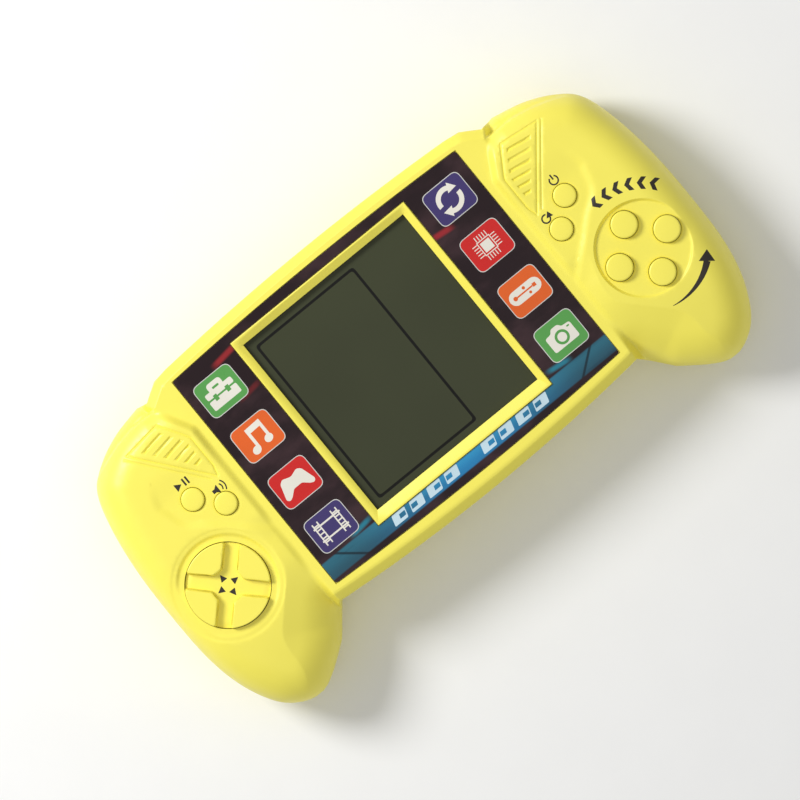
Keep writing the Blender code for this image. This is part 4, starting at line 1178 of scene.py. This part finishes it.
def screen_film():
    """Front polariser, with the game field's outline as a thin dark line."""
    low, high = span("lcd_front_film")
    outline = box(((low + high) / 2)[:2], (high - low)[:2])
    field = box(*GAME_FIELD)
    inner = (field - GAME_FIELD[0]) * [0.955, 0.971] + GAME_FIELD[0]
    line = [softened(field, 1.0), softened(inner, 0.8)]
    shape = solid(outline, line, [], [], level(high[2]), level(low[2]), no_hole, [(1, line)])
    put("lcd_front_film", shape, "lcd", looks=[LOOKS["lcd"], LCD_LINE])


def key(name, radius):
    """Round key: pusher, flange under the shell, and a cap with a soft rim and a gentle dome."""
    low, high = span(name)
    flange = (high[0] - low[0]) / 2
    bend = np.radians(np.linspace(0, 90, 7))
    shoulder = high[2] - 0.12
    rim_r, rim_z = radius - KEY_RIM, shoulder - KEY_RIM
    rim = [(rim_r + KEY_RIM * math.cos(a), rim_z + KEY_RIM * math.sin(a)) for a in bend]
    crown = [(radius * k, high[2] - 0.12 * k * k) for k in (0.7, 0.5, 0.3, 0.12)]
    stem, (foot, head), edge = radius * 0.6, FLANGE_Z, 0.05
    profile = [
        (0.0, low[2]), (stem - 0.1, low[2]), (stem, low[2] + 0.1), (stem, foot), (flange - edge, foot),
        (flange, foot + edge), (flange, head - edge), (flange - edge, head), (radius, head),
        *rim, *crown, (0.0, high[2]),
    ]
    put(name, turned(profile, middle(name), 72), "yellow_key", name)


def wedge(turn, inset):
    """One raised quarter of the D-pad, between two channels and cut off short of the hub."""
    reach, half, hub = DPAD_R - 0.12 - inset, CHANNEL_HALF + inset, HUB + inset
    start = math.asin(half / reach)
    arc = np.linspace(-math.pi / 4 + start, math.pi / 4 - start, 25)
    outer = np.column_stack([reach * np.cos(arc), reach * np.sin(arc)])
    width = hub - half * math.sqrt(2)
    return turned_by(np.vstack([outer, [(hub, width), (hub, -width)]]), turn) + DPAD


def dpad():
    """Rocking disc with four raised wedges, channels between them and an arrow by each wedge."""
    low, high = span("dpad")
    flange = (high[0] - low[0]) / 2
    top, floor = high[2], high[2] - CHANNEL_DEPTH

    def upper(x, y):
        dx, dy = x - DPAD[0], y - DPAD[1]
        r = np.hypot(dx, dy)
        long, short = np.maximum(np.abs(dx), np.abs(dy)), np.minimum(np.abs(dx), np.abs(dy))
        channel = (long - short) / math.sqrt(2) - CHANNEL_HALF
        sides = np.array([channel, long - HUB, DPAD_R + 0.25 - r])
        depth = -np.log(np.exp(-6 * sides).sum(axis=0)) / 6
        rise = (top - floor) * rounded(depth / WEDGE_ROUND)
        z = floor + rise - 0.25 * ease((r - 9.2) / 1.8) * (rise <= 0) - 0.10 * np.clip(r / DPAD_R, 0, 1) ** 2
        return np.where(r < DPAD_R, z, low[2] + 0.6)

    inwards = (0.0, 0.06, 0.15, 0.27, 0.4, WEDGE_ROUND)
    loops = [wedge(turn, inset) for turn in (0, 90, 180, 270) for inset in inwards]
    loops += [ring(DPAD, DPAD_R + s, 120) for s in (-STEP, STEP)]
    arrow = np.array([(1.5, -0.95), (3.35, 0.0), (1.5, 0.95)])
    marks = [(1, [turned_by(softened(arrow, 0.15), turn) + DPAD]) for turn in (0, 90, 180, 270)]
    loops += [loop for _, shapes in marks for loop in shapes]
    dots = lattice(np.array(DPAD) - 12.6, np.array(DPAD) + 12.6, 0.5)
    dots = dots[in_disc(*dots.T, DPAD, flange - 0.2)]
    shape = solid(ring(DPAD, flange, 120), loops, [], dots, upper, level(low[2]), no_hole, marks, clear=0.2)
    put("dpad", shape, "yellow_key", "dpad", [LOOKS["yellow_key"], INK])

    low, high = span("dpad_pivot")
    radius = (high[0] - low[0]) / 2
    bend = np.radians(np.linspace(-90, 0, 9))
    ball = [(radius * math.cos(a), low[2] + radius + radius * math.sin(a)) for a in bend[1:]]
    shape = turned([(0.0, low[2]), *ball, (radius, high[2]), (0.0, high[2])], DPAD, 32)
    put("dpad_pivot", shape, "yellow_key", "dpad_pivot")


def cells():
    """Two AA cells with a bare steel can, a printed sleeve and a raised cap."""
    for name, sign in (("battery_upper", 1), ("battery_lower", -1)):
        low, high = span(name)
        centre, x = (low + high) / 2, (high[0] - low[0]) / 2
        radius = (high[2] - low[2]) / 2
        can = [
            (0.0, -x), (radius - 1.0, -x), (radius - 0.35, -x + 0.2), (radius - 0.15, -x + 0.7),
            (radius - 0.15, x - 1.9), (radius - 0.4, x - 1.3), (radius - 0.9, x - 1.05), (3.0, x - 1.0),
            (2.75, x - 0.9), (2.7, x - 0.2), (2.5, x), (0.0, x),
        ]
        sleeve = [
            (radius - 0.14, -x + 0.5), (radius - 0.02, -x + 0.5), (radius, -x + 0.6), (radius, x - 1.9),
            (radius - 0.25, x - 1.5), (radius - 0.6, x - 1.2), (radius - 0.7, x - 1.28),
            (radius - 0.14, x - 2.0), (radius - 0.14, -x + 0.5),
        ]
        parts = [turned(can), turned(sleeve)]
        numbers = [0] * len(parts[0][1]) + [1] * len(parts[1][1])
        shape = (*lying(joined(*parts), centre, sign), numbers)
        put(name, shape, "cell_sleeve", looks=[LOOKS["steel"], LOOKS["cell_sleeve"]])


def springs():
    """Conical springs that press on the cells' flat ends."""
    for name in ("contact_spring_negative", "contact_spring_link"):
        low, high = span(name)
        wire_r = 0.3
        centre = (low + high) / 2
        inward = -1 if centre[0] > 0 else 1
        share = np.linspace(0, 1, 121)
        start = high[0] if inward < 0 else low[0]
        x = start + inward * (wire_r + share * (high[0] - low[0] - 2 * wire_r))
        angle = share * 2.5 * math.tau
        radius = 3.68 - 1.4 * share
        y = middle("battery_lower" if inward < 0 else "battery_upper")[1] + radius * np.cos(angle)
        z = span("battery_upper")[0][2] + 7.1 + radius * np.sin(angle)
        shape = tube(np.column_stack([x, y, z]), wire_r, 10)
        put(name, shape, "nickel")


def small_parts():
    """The parts on the boards, turned finely in place of the plain ones."""
    low, high = span("chip_epoxy")
    radius, tall = (high[0] - low[0]) / 2, high[2] - low[2]
    bend = np.linspace(0.02, math.pi / 2, 9)
    blob = [(radius * math.sin(a), high[2] - tall * math.cos(a) ** 0.7) for a in bend]
    put("chip_epoxy", turned([(0.0, low[2]), *blob, (0.0, high[2])], middle("chip_epoxy")), "epoxy")

    low, high = span("capacitor")
    radius = (high[0] - low[0]) / 2
    can = [
        (0.0, low[2] + 0.1), (radius - 0.7, low[2] + 0.1), (radius - 0.6, low[2]),
        (radius - 0.2, low[2]), (radius, low[2] + 0.2), (radius, high[2] - 1.6),
        (radius - 0.25, high[2] - 1.3), (radius, high[2] - 1.0), (radius, high[2]), (0.0, high[2]),
    ]
    put("capacitor", turned(can, middle("capacitor")), "capacitor_sleeve")

    low, high = span("resistor")
    half = (high[0] - low[0]) / 2
    t = np.linspace(-1, 1, 25)
    bulge = 0.82 + 0.28 * np.exp(-(((np.abs(t) - 0.72) / 0.14) ** 2))
    bulge *= np.sqrt(np.clip(1.0 - np.abs(t) ** 10, 0, 1))
    rod = [(0.0, -half), *((float(r), float(half * v)) for v, r in zip(t[1:-1], bulge[1:-1])), (0.0, half)]
    put("resistor", lying(turned(rod, sides=24), (low + high) / 2), "resistor_body")

    low, high = span("piezo_buzzer")
    radius = (high[0] - low[0]) / 2
    disc = [
        (0.0, low[2]), (radius - 0.05, low[2]), (radius, low[2] + 0.05), (radius, low[2] + 0.25),
        (radius - 0.05, low[2] + 0.3), (7.0, low[2] + 0.3), (6.95, high[2] - 0.03), (6.9, high[2]),
        (0.0, high[2]),
    ]
    sides = 64
    points, faces = turned(disc, BUZZER, sides)
    plate = 5 * sides  # how many faces are the brass plate's; the rest are the white crystal's
    shape = (points, faces, [int(i >= plate) for i in range(len(faces))])
    put("piezo_buzzer", shape, "brass", looks=[LOOKS["brass"], LOOKS["white_plastic"]])


def leads():
    """Round wires on the same routes as the plain ones."""
    foot = [(32.6, 9.0, 10.5), (33.5, 10.5, 11.2), (36.0, 14.0, 12.5)]
    power = [*foot, (36.0, 18.0, 16.0), (36.0, 18.6, 17.9)]
    ground = [(x, -y, z) for x, y, z in foot] + [(36.0, -17.5, 16.0), (36.0, -18.0, 17.9)]
    sound = [(60.0, -2.0, 3.6), (55.0, -1.0, 5.0), (48.0, 0.0, 9.0), (40.0, 0.5, 13.0), (36.6, 0.8, 17.9)]
    routes = {
        "power_lead_red": (power, 0.5), "power_lead_black": (ground, 0.5), "buzzer_lead_red": (sound, 0.4),
        "buzzer_lead_black": ([(x, y - 4.0, z) for x, y, z in sound], 0.4),
    }
    for name, (route, radius) in routes.items():
        slot = "red_wire" if name.endswith("red") else "black_wire"
        put(name, tube(spline(route, 10), radius), slot)


def ribbon(name):
    """Flat lead of eight ribs that droops between the main board and a key board."""
    low, high = span(name)
    ends = np.sort(np.abs([low[0], high[0]]))
    main_z, key_z = span("main_board")[0][2] - 0.3, span("key_board_left")[0][2] - 0.3
    rib = (high[1] - low[1]) / 8

    def upper(x, y):
        share = (np.abs(x) - ends[0]) / (ends[1] - ends[0])
        droop = 2.6 * np.sin(share * math.pi)
        ridge = np.abs(np.cos((y - low[1]) / rib * math.pi))
        return main_z * (1 - share) + key_z * share - droop - 0.12 * ridge**4

    def lower(x, y):
        return upper(x, y) - 0.36

    corners = [(low[0], low[1]), (high[0], low[1]), (high[0], high[1]), (low[0], high[1])]
    outline = divided([*corners, corners[0]], 0.5)
    runs = [divided([(low[0], y), (high[0], y)], 1.0) for y in np.arange(low[1], high[1], rib / 4)[1:]]
    shape = solid(outline[:-1], [], runs, [], upper, lower, no_hole)
    put(name, shape, "ribbon")


def cad_finishes():
    """Gives every CAD node that is still shown the finish of its slot."""
    for part in frame["record"]["subparts"]:
        node = frame["nodes"][part["node"]]
        if not node.hide_render:
            node.data.materials.clear()
            node.data.materials.append(LOOKS[part["material_slot"]])


# ---------- floor, light and camera ----------

TARGET = Vector((-4.35, -0.2, 25.6)) * MM
VIEW_RIGHT = Vector((0.775, -0.632, 0.0))
VIEW_UP = Vector((0.632, 0.775, 0.0))


def soft_light(name, across, up, height, size, power):
    """An area light placed by the view's own directions, aimed at the object."""
    data = bpy.data.lights.new(name, "AREA")
    data.shape = "DISK"
    data.size = size
    data.energy = power
    light = bpy.data.objects.new(name, data)
    light.location = TARGET + VIEW_RIGHT * across + VIEW_UP * up + Vector((0, 0, height))
    light.rotation_euler = (TARGET - light.location).to_track_quat("-Z", "Y").to_euler()
    bpy.context.scene.collection.objects.link(light)


def stage():
    mesh = bpy.data.meshes.new("floor")
    mesh.from_pydata([(-3, -3, 0), (3, -3, 0), (3, 3, 0), (-3, 3, 0)], [], [(0, 1, 2, 3)])
    mesh.materials.append(plain("floor", (0.93, 0.93, 0.92), 0.8, tone=0.005))
    floor = bpy.data.objects.new("floor", mesh)
    bpy.context.scene.collection.objects.link(floor)

    soft_light("key", -0.52, 0.20, 0.48, 0.28, 4.3)
    soft_light("fill", 0.20, -0.20, 0.90, 0.9, 0.9)
    world = bpy.data.worlds.new("studio")
    world.use_nodes = True
    world.node_tree.nodes["Background"].inputs["Color"].default_value = (1.0, 1.0, 1.0, 1.0)
    world.node_tree.nodes["Background"].inputs["Strength"].default_value = 0.42
    bpy.context.scene.world = world
    bpy.context.scene.view_settings.view_transform = "Standard"

    data = bpy.data.cameras.new("camera")
    data.lens = 283.0
    data.clip_start = 0.05
    camera = bpy.data.objects.new("camera", data)
    toward = Vector((0.055, -0.010, 1.0)).normalized()
    right = (VIEW_RIGHT - toward * VIEW_RIGHT.dot(toward)).normalized()
    up = toward.cross(right)
    turn = Matrix((right, up, toward)).transposed().to_4x4()
    camera.matrix_world = Matrix.Translation(TARGET + toward * 1.6) @ turn
    bpy.context.scene.collection.objects.link(camera)
    bpy.context.scene.camera = camera


front_shell()
rear_shell()
battery_door()
screws()
graphic_panel()
screen_film()
for key_name, key_radius in KEYS.items():
    key(key_name, key_radius)
dpad()
cells()
springs()
small_parts()
leads()
for ribbon_name in ("ribbon_left", "ribbon_right"):
    ribbon(ribbon_name)
cad_finishes()
stage()
